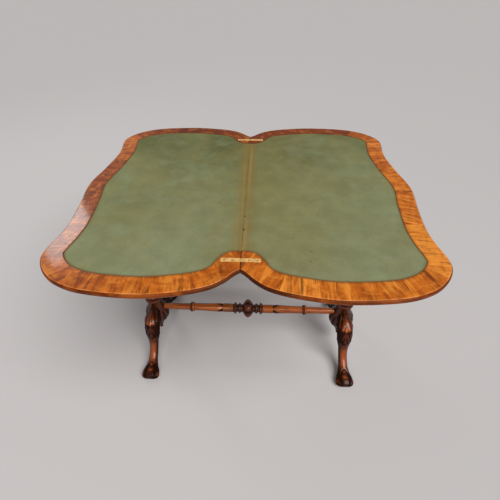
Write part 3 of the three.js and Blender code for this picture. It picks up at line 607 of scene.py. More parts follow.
# Half a leaf's outline and its mirror image as one curve, points evenly spaced along it, with normals
def leafCurve(steps):
    half = np.array(leaf["outline"]) * [leaf["depth"], leaf["length"] / 2]
    points = np.vstack([half * [1, -1], half[-2::-1]])
    fine = throughPoints(points, np.linspace(0, len(points) - 1, leaf["fineSteps"]), 0)
    run = runAlong(fine)
    spaced = columnsAt(np.linspace(0, run[-1], steps + 1), run, fine)
    along = np.gradient(spaced, axis=0)
    along /= np.linalg.norm(along, axis=1)[:, None]
    return spaced, np.column_stack([along[:, 1], -along[:, 0]])


leafPoints, leafNormals = leafCurve(leaf["steps"])


# The outline moved outwards; where an inward move folds back on itself the fold is drawn straight
def movedOutline(outset):
    moved = leafPoints + leafNormals * outset
    if outset >= 0:
        return moved
    reach = np.linalg.norm(moved[:, None] - leafPoints[None], axis=2).min(1)
    kept = np.flatnonzero(reach > -outset - leaf["foldSlack"])
    return columnsAt(np.arange(len(moved)), kept, moved[kept])


# A row that starts and ends on the joint face: the place where it crosses, then the curve's own points
def endAtJoint(points, face=jointFace):
    ends = []
    for a, b in ((points[0], points[1]), (points[-1], points[-2])):
        cross = a + (b - a) * (face - a[0]) / (b[0] - a[0]) if a[0] < face else np.array([face, a[1]])
        ends.append((cross, (cross + b) / 2 if a[0] < face else a))
    return np.vstack([ends[0][0], ends[0][1], points[1:-1], ends[1][1], ends[1][0]])


# The banding's inner edge: an even width, and beside the joint a flat-topped arch round the hinge,
# whose x and y follow powers of a sine and a cosine
def bandInner(clearance):
    even = movedOutline(-leaf["band"] - clearance)
    foot = leaf["archHalfWidth"] + clearance
    kept = np.flatnonzero(even[:, 0] > foot)
    top = tipReach - leaf["archDepth"] - clearance
    turn = np.linspace(0, pi / 2, leaf["archSteps"])
    first, count = even[kept[0]], kept[0]
    arch = np.column_stack([first[0] * np.sin(turn) ** leaf["archRound"],
                            first[1] + (-top - first[1]) * np.cos(turn) ** leaf["archRound"]])
    run = runAlong(arch)
    lead = columnsAt(np.arange(count) / count * run[-1], run, arch)
    line = np.vstack([lead, even[kept[0]:kept[-1] + 1], (lead * [1, -1])[::-1]])
    return eased(line, (count, len(line) - 1 - count))


# Corners of a line eased: near each, the line gives way to the mean of its neighbours
def eased(line, corners):
    reach = leaf["kink"]
    weights = 1 + np.cos(np.linspace(-pi, pi, 2 * reach + 3)[1:-1])
    padded = np.pad(line, ((reach, reach), (0, 0)), "edge")
    means = np.column_stack([np.convolve(padded[:, i], weights / weights.sum(), "valid") for i in range(2)])
    index = np.arange(len(line))[:, None]
    share = sum(np.exp(-((index - corner) / reach) ** 4) for corner in corners)
    return line * (1 - share) + means * share


hinge = dict(
    inset=26, plateLength=44.5, plateWidth=12, plateThickness=2.2, pinDepth=2.4, linkRadius=2.1,
    cheekMargin=1.6, gap=0.2, foldGap=0.6, holeGap=0.4, holeEase=1, holeSides=16,
    screwShares=[0.42, 0.84], screwHead=2.8, screwShank=1.3, screwLength=9, screwSink=0.15, screwRim=0.12,
    screwChamfer=0.15, screwSides=28, slot=0.7, slotReach=4, slotOver=2,
)
hingeY = tipReach - hinge["inset"]
pinSetback = hinge["pinDepth"] + hinge["foldGap"] / 2
screwPlaces = [jointFace + share * hinge["plateLength"] for share in hinge["screwShares"]]


# The sinkings for both hinges in a leaf: a bed for each plate, a deeper one for its cheeks, screw holes
def hingeBeds(side):
    gap, margin = hinge["gap"], hinge["linkRadius"] + hinge["cheekMargin"] + hinge["gap"]
    half, top, ease = hinge["plateWidth"] / 2 + gap, leaf["height"], hinge["holeEase"]
    beds = ((jointFace + hinge["plateLength"] + gap, hinge["plateThickness"] + gap),
            (pinSetback + margin, hinge["pinDepth"] + margin))
    tools = []
    for y in (-hingeY, hingeY):
        for end, depth in beds:
            across = sorted((side * -over, side * end))
            tools.append(block(*across, y - half, y + half, top - depth, top + over))
        for x in screwPlaces:
            tools.append(upright(side * x, y, top - hinge["screwLength"] - ease, top - ease,
                                 hinge["screwShank"] + hinge["holeGap"], hinge["holeSides"]))
    return tools


# The board: rows down the thumb moulding, each the outline moved out by the moulding's own curve
def leafBoard(name, side, body, node):
    down = np.r_[0, np.linspace(leaf["mouldingStart"], 1, leaf["mouldingRows"])]
    table = np.array(leaf["moulding"])
    out = throughTable(table[:, 1], table[:, 0], down) * leaf["edge"]
    depth = boardLevel - undersideLevel
    rows = np.stack([atLevel(endAtJoint(movedOutline(o)), boardLevel - d * depth) for o, d in zip(out, down)])
    points, faces = stackedOutline(rows)
    piece = newPiece(name, mirroredX(points, side), faces, mouldingMaterial, body, "dark_walnut", node)
    return shapeWith(piece, hingeBeds(side) + (pivotBeds() if side > 0 else []))


pivot = dict(place=117, plate=36.3, plateDepth=3.2, plateSides=72, head=11.3, headDepth=7.3, groove=58,
             grooveHalf=4.3, grooveDepth=6.3, turnSteps=40, endSteps=12)


# The bed of the pivot plate and the quadrant groove that the stop dowel runs in, with round ends
def pivotBeds():
    place, low, ring, half = pivot["place"], undersideLevel, pivot["groove"], pivot["grooveHalf"]
    quadrant = np.linspace(-pi, 0, pivot["turnSteps"])[pivot["turnSteps"] // 2:]
    end = np.linspace(0, pi, pivot["endSteps"])[1:-1]
    groove = np.vstack([arc(0, 0, ring + half, quadrant), arc(ring, 0, half, end),
                        arc(0, 0, ring - half, quadrant)[::-1], arc(0, -ring, half, end + pi / 2)]) + place
    return [upright(place, place, low - over, low + pivot["plateDepth"], pivot["plate"], pivot["plateSides"]),
            upright(place, place, low, low + pivot["headDepth"], pivot["head"]),
            prism(groove, low - over, low + pivot["grooveDepth"])]


# The banding's rows: for the foot the outset and the rise over the underside, for the arris the outset
# and the drop under the top, for the inside the clearance and the drop. Tones are place and tone, mostly
# light at the near side and dark at the far side, painted light and painted shade.
banding = dict(
    underGap=0.1, foot=(.15, .5), arris=[(0, .45), (-.2, .13), (-.7, 0), (-2.4, 0)],
    inside=[(-7, 0), (-2.6, 0), (-.35, 0), (0, .3)], arrisFirst=2, arrisWearAndHighlight=[0.6, 1, 0.8],
    rimFirst=7, rimDirt=[0.35, 1, 1, 1],
    veneers=17, seamShift=0.3, lean=0.22, mapShift=900, toneShift=0.1, chord=6,
    tones={1: [[0, .84], [.12, .82], [.22, .76], [.3, 1.05], [.4, .9], [.5, .78], [.6, .7], [.7, .85],
               [.76, .7], [.8, .34], [1, .38]],
           -1: [[0, .45], [.03, .6], [.08, .84], [.2, .62], [.28, .62], [.36, .55], [.5, .5], [.62, .5],
                [.7, .75], [.76, .55], [.8, .16], [.9, .24], [1, .38]]},
)


# The crossbanding: rows from its underside round the rubbed arris and over to the inner edge
def crossBanding(name, side, body, node):
    top, low = leaf["height"], boardLevel + banding["underGap"]
    footOut, footRise = banding["foot"]
    outer = [(0, low), (footOut, low + footRise)] + [(out, top - drop) for out, drop in banding["arris"]]
    inside = [(clearance, top - drop) for clearance, drop in banding["inside"]] + [(0, low)]
    grid = np.stack([atLevel(endAtJoint(movedOutline(out)), z) for out, z in outer]
                    + [atLevel(endAtJoint(bandInner(clearance)), z) for clearance, z in inside])
    rings = grid.transpose(1, 0, 2)
    points, faces = stackedOutline(rings)
    piece = newPiece(name, mirroredX(points, side), faces, bandingMaterial, body, "walnut", node)
    veneerMap(piece, points, rings.shape[:2], grid[len(outer) - 1, :, :2], side)
    # the arris gets wear and a painted highlight, the rim a dark line at the inner edge
    for layer, shares in (("arris", banding["arrisWearAndHighlight"]), ("rim", banding["rimDirt"])):
        first, values = banding[layer + "First"], np.zeros(rings.shape[:2])
        values[:, first:first + len(shares)] = shares
        setAttribute(piece, layer, values)
    return shapeWith(piece, hingeBeds(side) + [jointWedge(side)], sharp=50)


# Each veneer gets its own straight map along the band's direction there, turned and shifted a little,
# so that the grain crosses the band, and its own tone: painted light at the near side, painted shade at
# the far side, with a little random spread.
def veneerMap(piece, points, shape, outline, side):
    mesh, (count, around), veneers, chord = piece.data, shape, banding["veneers"], banding["chord"]
    seams = np.linspace(0, count, veneers + 1)
    seams[1:-1] += rng.uniform(-banding["seamShift"], banding["seamShift"], veneers - 1) * count / veneers
    seams = np.round(seams).astype(int)
    middle = np.clip((seams[:-1] + seams[1:]) // 2, chord, count - 1 - chord)
    along = outline[middle + chord] - outline[middle - chord]
    turn = np.arctan2(along[:, 1], along[:, 0]) + rng.uniform(-banding["lean"], banding["lean"], veneers)
    shift = rng.uniform(0, banding["mapShift"], (veneers, 2))
    # painted light and shade: the tone follows the place round the band, plus a random spread
    toneWithPaintedLight = np.interp(middle / count, *np.transpose(banding["tones"][side]))
    toneWithPaintedLight = toneWithPaintedLight + rng.uniform(-banding["toneShift"], banding["toneShift"], veneers)
    corner = np.empty(len(mesh.loops), int)
    mesh.loops.foreach_get("vertex_index", corner)
    starts, totals = np.empty(len(mesh.polygons), int), np.empty(len(mesh.polygons), int)
    mesh.polygons.foreach_get("loop_start", starts)
    mesh.polygons.foreach_get("loop_total", totals)
    lowest = np.minimum.reduceat(corner // around, starts)
    which = np.repeat(np.clip(np.searchsorted(seams, lowest, side="right") - 1, 0, veneers - 1), totals)
    x, y, z = points[corner].T
    cosine, sine = np.cos(turn[which]), np.sin(turn[which])
    u = x * cosine + y * sine + shift[which, 0]
    v = -x * sine + y * cosine + shift[which, 1] + (z - leaf["height"])
    places = (np.stack([u, v], 1) * mm).astype(np.float32).ravel()
    mesh.uv_layers.new(name="veneer").data.foreach_set("uv", places)
    setAttribute(piece, "toneWithPaintedLight", toneWithPaintedLight[which], "CORNER")


# The small bevel along the top arris of the joint, cut by a three-sided bar
def jointWedge(side):
    x, z, rise = jointFace, leaf["height"], leaf["bevel"]
    section = np.array([[x - over, z + over], [x - over, z - rise - over], [x + rise + over, z + over]])
    rows = [np.column_stack([section[:, 0] * side, np.full(3, y), section[:, 1]])
            for y in (-leaf["bevelReach"], leaf["bevelReach"])]
    return newPiece("tool", *stackedOutline(np.stack(rows)))


# The cloth's rows: clearance from the banding's inner line, drop under the cloth's top and dirt
cloth = dict(bedGap=0.05, start=0.2, drops=[(.2, .5), (.35, .18), (.75, 0), (2.2, 0), (4.5, 0), (8, 0)],
             dirt=[1, 1, 1, 0.95, 0.6, 0.15, 0], jointDirt=0.3, jointOver=0.2, jointRoll=0.55, jointRise=0.5,
             jointLean=0.04)


# The baize: a flat sheet with a softly rolled edge, cut to the banding's inner edge
def baizePanel(name, side, body, node):
    rise, start = leaf["height"] - leaf["veneer"] + leaf["baize"], cloth["start"]
    steps = [(start, boardLevel + cloth["bedGap"])] + [(out, rise - drop) for out, drop in cloth["drops"]]
    rows = []
    for clearance, level in steps:
        rolled = min(clearance - start, cloth["jointRoll"]) * cloth["jointRise"]
        face = jointFace - cloth["jointOver"] + rolled + clearance * cloth["jointLean"]
        rows.append(atLevel(endAtJoint(bandInner(clearance), face), level))
    points, faces = stackedOutline(np.stack(rows))
    piece = newPiece(name, mirroredX(points, side), faces, baizeMaterial, body, "baize", node)
    around = len(rows[0])
    border = np.repeat(cloth["dirt"], around).reshape(-1, around)
    border[:, [0, -1]] *= cloth["jointDirt"]
    setAttribute(piece, "border", border)
    return piece


leafSides = ((1, "fixed", "top"), (-1, "folding", "flap"))
for side, part, body in leafSides:
    leafBoard(f"{part}_leaf_board", side, body, f"{part}_leaf")
    crossBanding(f"{part}_leaf_banding", side, body, f"{part}_crossband")
    baizePanel(f"{part}_leaf_cloth", side, body, f"{part}_baize")
print("stage: top")


# A countersunk screw with its slot
def plateScrew(name, side, x, y, body, node):
    head, shank, top, slot = hinge["screwHead"], hinge["screwShank"], leaf["height"], hinge["slot"]
    rim, reach, half = top - hinge["screwSink"], hinge["slotReach"], slot / 2
    levels = [top - hinge["screwLength"], rim - (head - shank), rim - hinge["screwRim"], rim]
    rings = turnedRings([shank, shank, head, head - hinge["screwChamfer"]], levels, hinge["screwSides"])
    points, faces = closedTube(rings + [side * x, y, 0])
    piece = newPiece(name, points, faces, screwMaterial, body, "brass", node)
    cut = (side * x - reach, side * x + reach, y - half, y + half, rim - slot, top + hinge["slotOver"])
    return shapeWith(piece, [block(*cut)])


for side, part, body in leafSides:
    for place, y in (("near", -hingeY), ("far", hingeY)):
        for i, x in enumerate(screwPlaces):
            node = f"{place}_screw_{part}_{i + 1}"
            plateScrew(f"{place}_{part}_plate_screw_{i + 1}", side, x, y, body, node)
print("stage: hinges")


rails = dict(inset=28, height=62, thickness=22, swivelGap=0.5, joint=336, halfGap=0.3, reach=500, arris=0.9,
             arrisSegments=2, arrisAngle=50)
frameTop = undersideLevel - rails["swivelGap"]
frameBottom = frameTop - rails["height"]


# The frame's plan is the closed top's outline drawn in, turned a quarter and cut flat at the back
def framePlan(inset):
    curve = movedOutline(-inset)
    plan = np.column_stack([curve[:, 1], leaf["depth"] / 2 - curve[:, 0]])
    back = leaf["depth"] / 2 - inset
    plan = plan[plan[:, 1] < back]
    return np.vstack([[plan[0, 0], back], plan, [plan[-1, 0], back]])


# A frieze rail: the plan less the same plan drawn in by the thickness, trimmed to the rail's bounds
def frameRail(name, node, bounds):
    low, high = frameBottom - over, frameTop + over
    piece = prism(framePlan(rails["inset"]), frameBottom, frameTop)
    shapeWith(piece, [prism(framePlan(rails["inset"] + rails["thickness"]), low, high)])
    shapeWith(piece, [block(*bounds, low, high)], "INTERSECT")
    piece.name = piece.data.name = name
    finishPiece(piece, railMaterial, "base", node)
    soften = piece.modifiers.new("arris", "BEVEL")
    soften.width, soften.segments = rails["arris"] * mm, rails["arrisSegments"]
    soften.limit_method, soften.angle_limit = "ANGLE", radians(rails["arrisAngle"])


railEnd, reach = rails["joint"] - rails["halfGap"], rails["reach"]
frameRail("rail_front", "frieze_front", (-railEnd, railEnd, -reach, 0))
frameRail("rail_back", "frieze_back", (-railEnd, railEnd, 0, reach))
frameRail("rail_left", "frieze_left", (-reach, -rails["joint"], -reach, reach))
frameRail("rail_right", "frieze_right", (rails["joint"], reach, -reach, reach))
print("stage: frame")


beam = dict(length=300, width=52, height=26, roll=9, rollSteps=9, flat=9.4, arris=0.8, endSteps=33)
support = dict(
    place=366, gap=0.3, radius=34, foot=84, tenon=14, tenonLength=22, socket=6.3, socketDepth=13.3,
    profile=[[.42, 0], [.68, .016], [1.03, .042], [1.28, .071], [1.38, .1], [1.34, .126], [1.18, .151],
             [.98, .176], [.86, .2], [.82, .242], [.95, .252], [1, .26], [.95, .268], [.84, .281],
             [.95, .291], [1, .299], [.95, .307], [.76, .316], [.65, .35], [.7, .4], [.9, .48], [1, .56],
             [.96, .62], [.72, .72], [.57, .8], [.6, .842], [.88, .848], [.9, .862], [.64, .872], [.68, .9],
             [.95, .94], [1, .955], [1, 1]],
    gadroons=14, gadroonDepth=0.07, gadroonPower=0.7, hubRise=(.012, .06), hubFall=(.13, .168),
    rows=260, ringRows=(.235, .325, 70), neckRows=(.83, .88, 30), sides=112, shellSides=96,
    # dirt darkens the gadroon grooves and hollowDirtAndShade the inward bends, dirt and painted shade;
    # ringWearAndHighlight lightens the rings, wear and painted highlight
    dirtRise=(.01, .05), dirtFall=(.14, .17), dirt=1.4, bendReach=0.006, hollowDirtAndShade=0.45, ringWearAndHighlight=0.25,
)
beamTop = frameBottom - support["gap"]
pillarTop = beamTop - beam["height"] - support["gap"]
pillarHeight = pillarTop - support["foot"]


# A top beam: a bar with half-round ends, whose lower edge is worked to a quarter round
def topBeam(name, side, node):
    half, reach = beam["width"] / 2, beam["length"] / 2 - beam["width"] / 2
    turn = np.linspace(0, pi, beam["endSteps"])
    low, roll = beamTop - beam["height"], beam["roll"]
    quarter = np.linspace(0, pi / 2, beam["rollSteps"])
    steps = [(roll * (1 - sin(a)), low + roll * (1 - cos(a))) for a in quarter]
    steps += [(0, low + beam["flat"]), (0, beamTop - beam["arris"]), (beam["arris"], beamTop)]
    rows = []
    for inset, z in steps:
        far = arc(0, reach, half - inset, turn)
        rows.append(atLevel(np.vstack([far, -far]) + [side * support["place"], 0], z))
    return newPiece(name, *stackedOutline(np.stack(rows)), beamMaterial, "base", "dark_walnut", node)


# Gadroons on the hub: the radius dips along narrow grooves, deepest at the widest level
def gadroon(angle, level):
    share = (level - support["foot"]) / pillarHeight
    deep = smoothStep(share, *support["hubRise"]) * (1 - smoothStep(share, *support["hubFall"]))
    groove = lobeGroove(angle, support["gadroons"], support["gadroonPower"])
    return 1 - support["gadroonDepth"] * deep * groove


# Even shares from nothing to one, with more of them in the given spans
def sharesWith(rows, *spans):
    return np.unique(np.r_[np.linspace(0, 1, rows), *(np.linspace(*span) for span in spans)])


# A pillar: its socket for the drop, the turned profile with gadroons, and its tenon. Dirt and painted
# shade lie in the grooves and where the profile bends in, wear and painted highlights where it bends out.
def pillar(name, side, node):
    levels = sharesWith(support["rows"], support["ringRows"], support["neckRows"])
    foot, sides = support["foot"], support["sides"]
    rings = turnedRings(profileRadii(support, levels), foot + levels * pillarHeight, sides, gadroon)
    tenon = barRings(support["tenon"], pillarTop, pillarTop + support["tenonLength"], sides)
    socket = barRings(support["socket"], foot + support["socketDepth"], foot, sides)
    points, faces = closedTube(np.concatenate([socket, rings, tenon]) + [side * support["place"], 0, 0])
    piece = newPiece(name, points, faces, pillarMaterial, "base", "carved_walnut", node, sharp=50)
    angle = np.arctan2(points[:, 1], points[:, 0] - side * support["place"])
    share = np.clip((points[:, 2] - foot) / pillarHeight, 0, 1)
    deep = smoothStep(share, *support["dirtRise"]) * (1 - smoothStep(share, *support["dirtFall"]))
    groove = lobeGroove(angle, support["gadroons"], 1) ** 1.5
    step = support["bendReach"]
    above, below = (profileRadii(support, np.clip(share + shift, 0, 1)) for shift in (step, -step))
    bend = above + below - 2 * profileRadii(support, share)
    setDirtShadeAndWear(piece, deep * groove * support["dirt"] + np.clip(bend * support["hollowDirtAndShade"], 0, 1),
            -bend * support["ringWearAndHighlight"])
    return piece


# The lower part of a pillar with its gap, as a tool that copes the pieces which meet it
def pillarShell(side, top, steps):
    share = np.linspace(0, top, steps)
    radii, levels = profileRadii(support, share) + support["gap"], support["foot"] + share * pillarHeight
    shell = turnedRings(radii, levels, support["shellSides"]) + [side * support["place"], 0, 0]
    return newPiece("tool", *closedTube(shell))


finial = dict(radius=15, bottom=37, lobes=8, lobeDepth=0.12, lobePower=0.7, lobeRise=(.45, .6), lobeEnd=1,
              spigot=6, spigotLength=13, rows=90, sides=64, dirtMost=0.1, dirt=8,
              profile=[[.05, 0], [.3, .03], [.42, .13], [.3, .25], [.5, .33], [.55, .38], [.5, .43],
                       [.75, .58], [.93, .78], [.93, .985], [.85, 1]])


# A drop under the hub: turned, its upper part cut into lobes by narrow grooves, with a spigot on top.
# Dirt and painted shade lie where the radius falls short of the plain profile.
def dropFinial(name, side, node):
    bottom, sides, middle = finial["bottom"], finial["sides"], side * support["place"]
    height = support["foot"] - support["gap"] - bottom
    share = np.linspace(0, 1, finial["rows"])
    levels = bottom + share * height

    def lobed(angle, level):
        deep = smoothStep((level - bottom) / height, *finial["lobeRise"])
        deep = deep * (level < support["foot"] - finial["lobeEnd"])
        return 1 - finial["lobeDepth"] * deep * lobeGroove(angle, finial["lobes"], finial["lobePower"])

    rings = turnedRings(profileRadii(finial, share), levels, sides, lobed)
    spigot = barRings(finial["spigot"], levels[-1], support["foot"] + finial["spigotLength"], sides)
    points, faces = closedTube(np.concatenate([rings, spigot]) + [middle, 0, 0])
    piece = newPiece(name, points, faces, carvedMaterial, "base", "carved_walnut", node)
    spread = np.hypot(points[:, 0] - middle, points[:, 1])
    plain = profileRadii(finial, np.clip((points[:, 2] - bottom) / height, 0, 1))
    short = np.clip(1 - spread / (plain + 1e-6), 0, finial["dirtMost"])
    setDirtShadeAndWear(piece, short * finial["dirt"], np.zeros(len(points)))
    return piece


leg = dict(
    reach=216, rise=168, footWidth=66, rows=260, sides=120,
    lip=0.195, ledge=0.35, scallop=0.05, relief=3.8, sink=0.62, curl=2.6, veins=1.9, veinSlant=9.0,
    veinDepth=0.42, archReach=0.62, archStart=0.765, archStretch=9.0, toeDepth=2.6, sharp=60,
    front=(1.9, 2.5), veinStart=0.2, veinPower=0.7, midrib=0.1, overlap=0.09, scallopPower=0.8, base=0.35,
    leafEnd=0.012, leafSide=0.15, furrowShift=0.006, furrow=0.012,
    lipShift=0.018, lipLong=0.017, lipWide=0.55,
    sideReach=1.55, sideShift=0.035, toeGroove=0.14, toeRise=(0.64, 0.7), toeFall=(0.985, 1),
    # knuckles: painted highlights on the toes, each its place down the leg, angle round it and two widths
    knuckles=[(0.8, 0, 0.024, 0.24), (0.715, 0, 0.012, 0.3), (0.86, 1.1, 0.03, 0.2)],
    shares=[[.08, .94, .33, .5], [.2, 1, .4, .49], [.3, .99, .44, .43], [.365, .9, .44, .37],
            [.405, .78, .41, .32], [.435, .65, .36, .27], [.465, .52, .28, .24], [.51, .39, .25, .22],
            [.58, .28, .245, .21], [.67, .2, .255, .215], [.77, .14, .33, .25], [.86, .1, .46, .28],
            [.93, .084, .5, .255], [.98, .074, .44, .21], [1, .068, .3, .13]],
)


# Two overlapping carved leaves on the knee. Each rises towards its lower edge and stops there in a
# ledge, whose scallops follow a cosine round the leg; slanting veins follow a sine; a lip curls out
# at the upper leaf's tip. Heights are shares of the relief.
def carvedLeaves(t, around):
    wide = np.abs(around)
    front = 1 - smoothStep(wide, *leg["front"])
    phase = leg["veins"] * wide - leg["veinSlant"] * t + leg["veinStart"]
    vein = np.abs(np.sin(pi * phase)) ** leg["veinPower"]
    midrib = bell(wide, leg["midrib"])
    surface = 1 - leg["veinDepth"] * (1 - vein) * (1 - midrib)
    height, inside, furrow = np.zeros_like(phase), np.zeros_like(phase), np.zeros_like(phase)
    # start and end down the leg, scallops, reach round it and height
    leaves = ((0.0, leg["lip"], 1.15, 1.35, 1.25),
              (leg["lip"] - leg["overlap"], leg["ledge"], 2.1, 3.2, 1.0))
    for start, stop, tips, reach, most in leaves:
        edge = stop - leg["scallop"] * (1 - np.abs(np.cos(tips * around)) ** leg["scallopPower"])
        rise = leg["base"] + (1 - leg["base"]) * smoothStep(t, start, stop)
        sideways = smoothStep(reach - wide, 0, leg["leafSide"])
        cover = smoothStep(edge - t, 0.0, leg["leafEnd"]) * front * sideways
        height = np.maximum(height, cover * rise * most * surface)
        inside = np.maximum(inside, cover)
        below = bell(t - edge - leg["furrowShift"], leg["furrow"])
        furrow = np.maximum(furrow, below * front * (wide < reach))
    down = t - leg["lip"] + leg["lipShift"]
    lip = np.exp(-(down / leg["lipLong"]) ** 2 - (wide / leg["lipWide"]) ** 2)
    return height, inside, lip, np.clip(furrow + inside * (1 - vein) ** 1.5, 0, 1) * (1 - midrib * inside)


# Toes: an arch-shaped groove over the middle toe and a second one round the sides, each the distance
# from a half circle that runs on as straight lines
def carvedToes(t, around):
    groove = np.zeros(np.broadcast(t, around).shape)
    start = leg["archStart"]
    for reach, begin in ((leg["archReach"], start), (leg["sideReach"], start - leg["sideShift"])):
        behind = np.maximum(begin - t, 0) * leg["archStretch"]
        groove = np.maximum(groove, bell(np.hypot(behind, around) - reach, leg["toeGroove"]))
    return groove * smoothStep(t, *leg["toeRise"]) * (1 - smoothStep(t, *leg["toeFall"]))


# A leg: rings of an oval along its bent middle line, with carving on the knee and toes on the foot
def legShape(side, end):
    table = np.array(leg["shares"])
    t = np.linspace(0, 1, leg["rows"])
    place = t * (len(table) - 1)
    middle = throughPoints(table[:, :2] * [leg["reach"], leg["rise"]], place, 0.5)
    size = throughPoints(table[:, 2:] * leg["footWidth"], place, 0.5)
    along = np.gradient(middle, axis=0)
    along /= np.linalg.norm(along, axis=1)[:, None]
    angle = np.linspace(-pi / 2, 3 * pi / 2, leg["sides"], endpoint=False)[None]
    around = (angle - pi / 2 + pi) % (2 * pi) - pi  # nothing at the outer face
    rows = t[:, None]
    height, inside, lip, furrow = carvedLeaves(rows, around)
    groove = carvedToes(rows, around)
    raised = (height - leg["sink"] * inside) * leg["relief"] + lip * leg["curl"] - groove * leg["toeDepth"]
    width, depth = size[:, :1] + raised, size[:, 1:] + raised
    across, outer = width * np.cos(angle), depth * np.sin(angle)
    out = middle[:, :1] - outer * along[:, 1:]
    up = middle[:, 1:] + outer * along[:, :1]
    rings = np.stack([across + side * support["place"], end * out, np.maximum(up, 0.0)], -1)
    return rings, *legDirtShadeAndHighlights(rows, around, side, up, height, inside, lip, furrow, groove)


# Dirt, painted shade and painted highlights of a leg: where each begins and is full, down the leg or round
# it, and how strong it is
legDirtAndPaintedLight = dict(
    groove=1.1, floorSpan=(3, 11), floorRows=(0.7, 0.8), floor=0.7, rootSpan=(0.02, 0.09), root=0.5,
    lowerEase=0.01, lower=0.45, footSpan=(0.69, 0.74), foot=0.6, flankRise=(0.9, 1.7), flankFall=(2.6, 3.1),
    flank=0.45, innerSpan=(0.05, 0.9), inner=0.6, ankleRise=(0.4, 0.47), ankleFall=(0.62, 0.72),
    ankleSide=(0.4, 1.3), ankle=0.7, leafTop=(0.85, 1.2), leafShare=0.3, kept=0.7, knuckle=0.55,
)


# Dirt and painted shade in the furrows and the toe grooves; darker near the floor and over the foot;
# painted shade at the root, on the lower leaf, on the flanks and on the side that faces inwards; wear and
# painted highlights on the lip, painted highlights on the upper leaf, the ankle and the knuckles
def legDirtShadeAndHighlights(rows, around, side, up, height, inside, lip, furrow, groove):
    look, wide = legDirtAndPaintedLight, np.abs(around)
    low = (1 - smoothStep(up, *look["floorSpan"])) * smoothStep(rows, *look["floorRows"])
    # painted shade at the root by the hub, and below on the lower leaf under the lip
    root = 1 - smoothStep(rows, *look["rootSpan"])
    ease = look["lowerEase"]
    lower = inside * smoothStep(rows, leg["lip"] - ease, leg["lip"] + ease) * look["lower"]
    foot = smoothStep(rows, *look["footSpan"]) * look["foot"]
    # painted shade on the flanks and on the side that faces inwards, under the table
    flank = smoothStep(wide, *look["flankRise"]) * (1 - smoothStep(wide, *look["flankFall"])) * look["flank"]
    inner = smoothStep(around * side, *look["innerSpan"]) * look["inner"]
    shadeAndDirt = furrow * look["groove"] + groove * look["groove"] + low * look["floor"] + root * look["root"]
    shadeAndDirt = np.clip(shadeAndDirt + lower + foot + flank + inner, 0, 1)
    # painted highlights on the ankle's front, the knuckles and the upper leaf, held back where it is dark
    ankle = smoothStep(rows, *look["ankleRise"]) * (1 - smoothStep(rows, *look["ankleFall"]))
    ankle = ankle * (1 - smoothStep(wide, *look["ankleSide"]))
    knuckle = sum(np.exp(-((rows - down) / long) ** 2 - ((wide - apart) / broad) ** 2)
                  for down, apart, long, broad in leg["knuckles"])
    leafTop = inside * smoothStep(height, *look["leafTop"]) * (rows < leg["lip"]) * look["leafShare"]
    bare = 1 - shadeAndDirt * look["kept"]
    return shadeAndDirt, (lip + leafTop + ankle * look["ankle"]) * bare + knuckle * look["knuckle"]


# A leg with its dirt, painted shade, wear and painted highlights, coped to the pillar
def carvedLeg(name, side, end, node):
    rings, shadeAndDirt, wearAndHighlight = legShape(side, end)
    points, faces = closedTube(rings)
    piece = newPiece(name, points, faces, carvedMaterial, "base", "carved_walnut", node, sharp=leg["sharp"])
    setDirtShadeAndWear(piece, shadeAndDirt, wearAndHighlight)
    return shapeWith(piece, [pillarShell(side, 0.3, 60)], sharp=leg["sharp"])


for sideName, side in (("left", -1), ("right", 1)):
    topBeam(f"{sideName}_top_beam", side, f"top_beam_{sideName}")
    pillar(f"{sideName}_pillar", side, f"pillar_{sideName}")
    dropFinial(f"{sideName}_drop", side, f"drop_finial_{sideName}")
    for endName, end in (("near", -1), ("far", 1)):
        carvedLeg(f"{sideName}_{endName}_leg", side, end, f"leg_{sideName}_{endName}")
print("stage: end supports")


boss = dict(
    reach=58, radius=37.5, lobes=6, lobeTurn=128, lobeDepth=0.11, lobePower=0.9, lobedSpan=(.2, .31),
    bendSpan=(600, 4000), hollow=0.9, ringWearAndHighlight=0.6, lobeWearAndHighlight=0.85, rows=240, sides=180,
    profile=[[1, 0], [.96, .085], [.87, .16], [.74, .23], [.58, .29], [.44, .335], [.4, .37], [.41, .45],
             [.49, .5], [.52, .56], [.49, .62], [.4, .66], [.4, .76], [.55, .8], [.6, .86], [.55, .92],
             [.45, .95], [.44, 1]],
)
stretcher = dict(
    height=174, radius=16, tenon=7.5, tenonLength=16, tenonOver=25, tenonSides=32, gap=0.3, sides=96,
    sharp=45,
    profile=[[1, 0], [1.02, .08], [1.02, .2], [.95, .3], [.86, .555], [1.12, .566], [1.18, .577],
             [1.1, .586], [1.02, .589], [1.1, .592], [1.18, .6], [1.12, .61], [.82, .62], [.76, .75],
             [.7, 1]],
    rows=120, notchRows=(.13, .23, 90), ringRows=(.545, .63, 50),
    petals=3, petalTurn=128, petalReach=0.95, petalEdge=0.22, notchWall=0.14, notchEnd=0.25, notchDepth=3.6,
    # notchShade sets the painted shade in the notches; hollow is dirt and painted shade, wear is wear and
    # painted highlight
    wallStart=0.985, notchShade=1.3, hollowSpan=(2e4, 8e4), hollow=0.9, wearSpan=(2e4, 9e4), wear=0.6,
    # ringShade sets the painted shade on the ring's bead that faces -x
    ring=0.588, ringSize=0.012, ringShade=0.9, innerEase=0.012, innerShade={-1: 0.45, 1: 0.1},
)
rodLength = support["place"] - support["radius"] - boss["reach"]


# How sharply a turned profile bends at each place along it, the same all the way round
def profileBend(radii, share, angle):
    return np.gradient(np.gradient(radii, share), share)[:, None] * np.ones_like(angle)


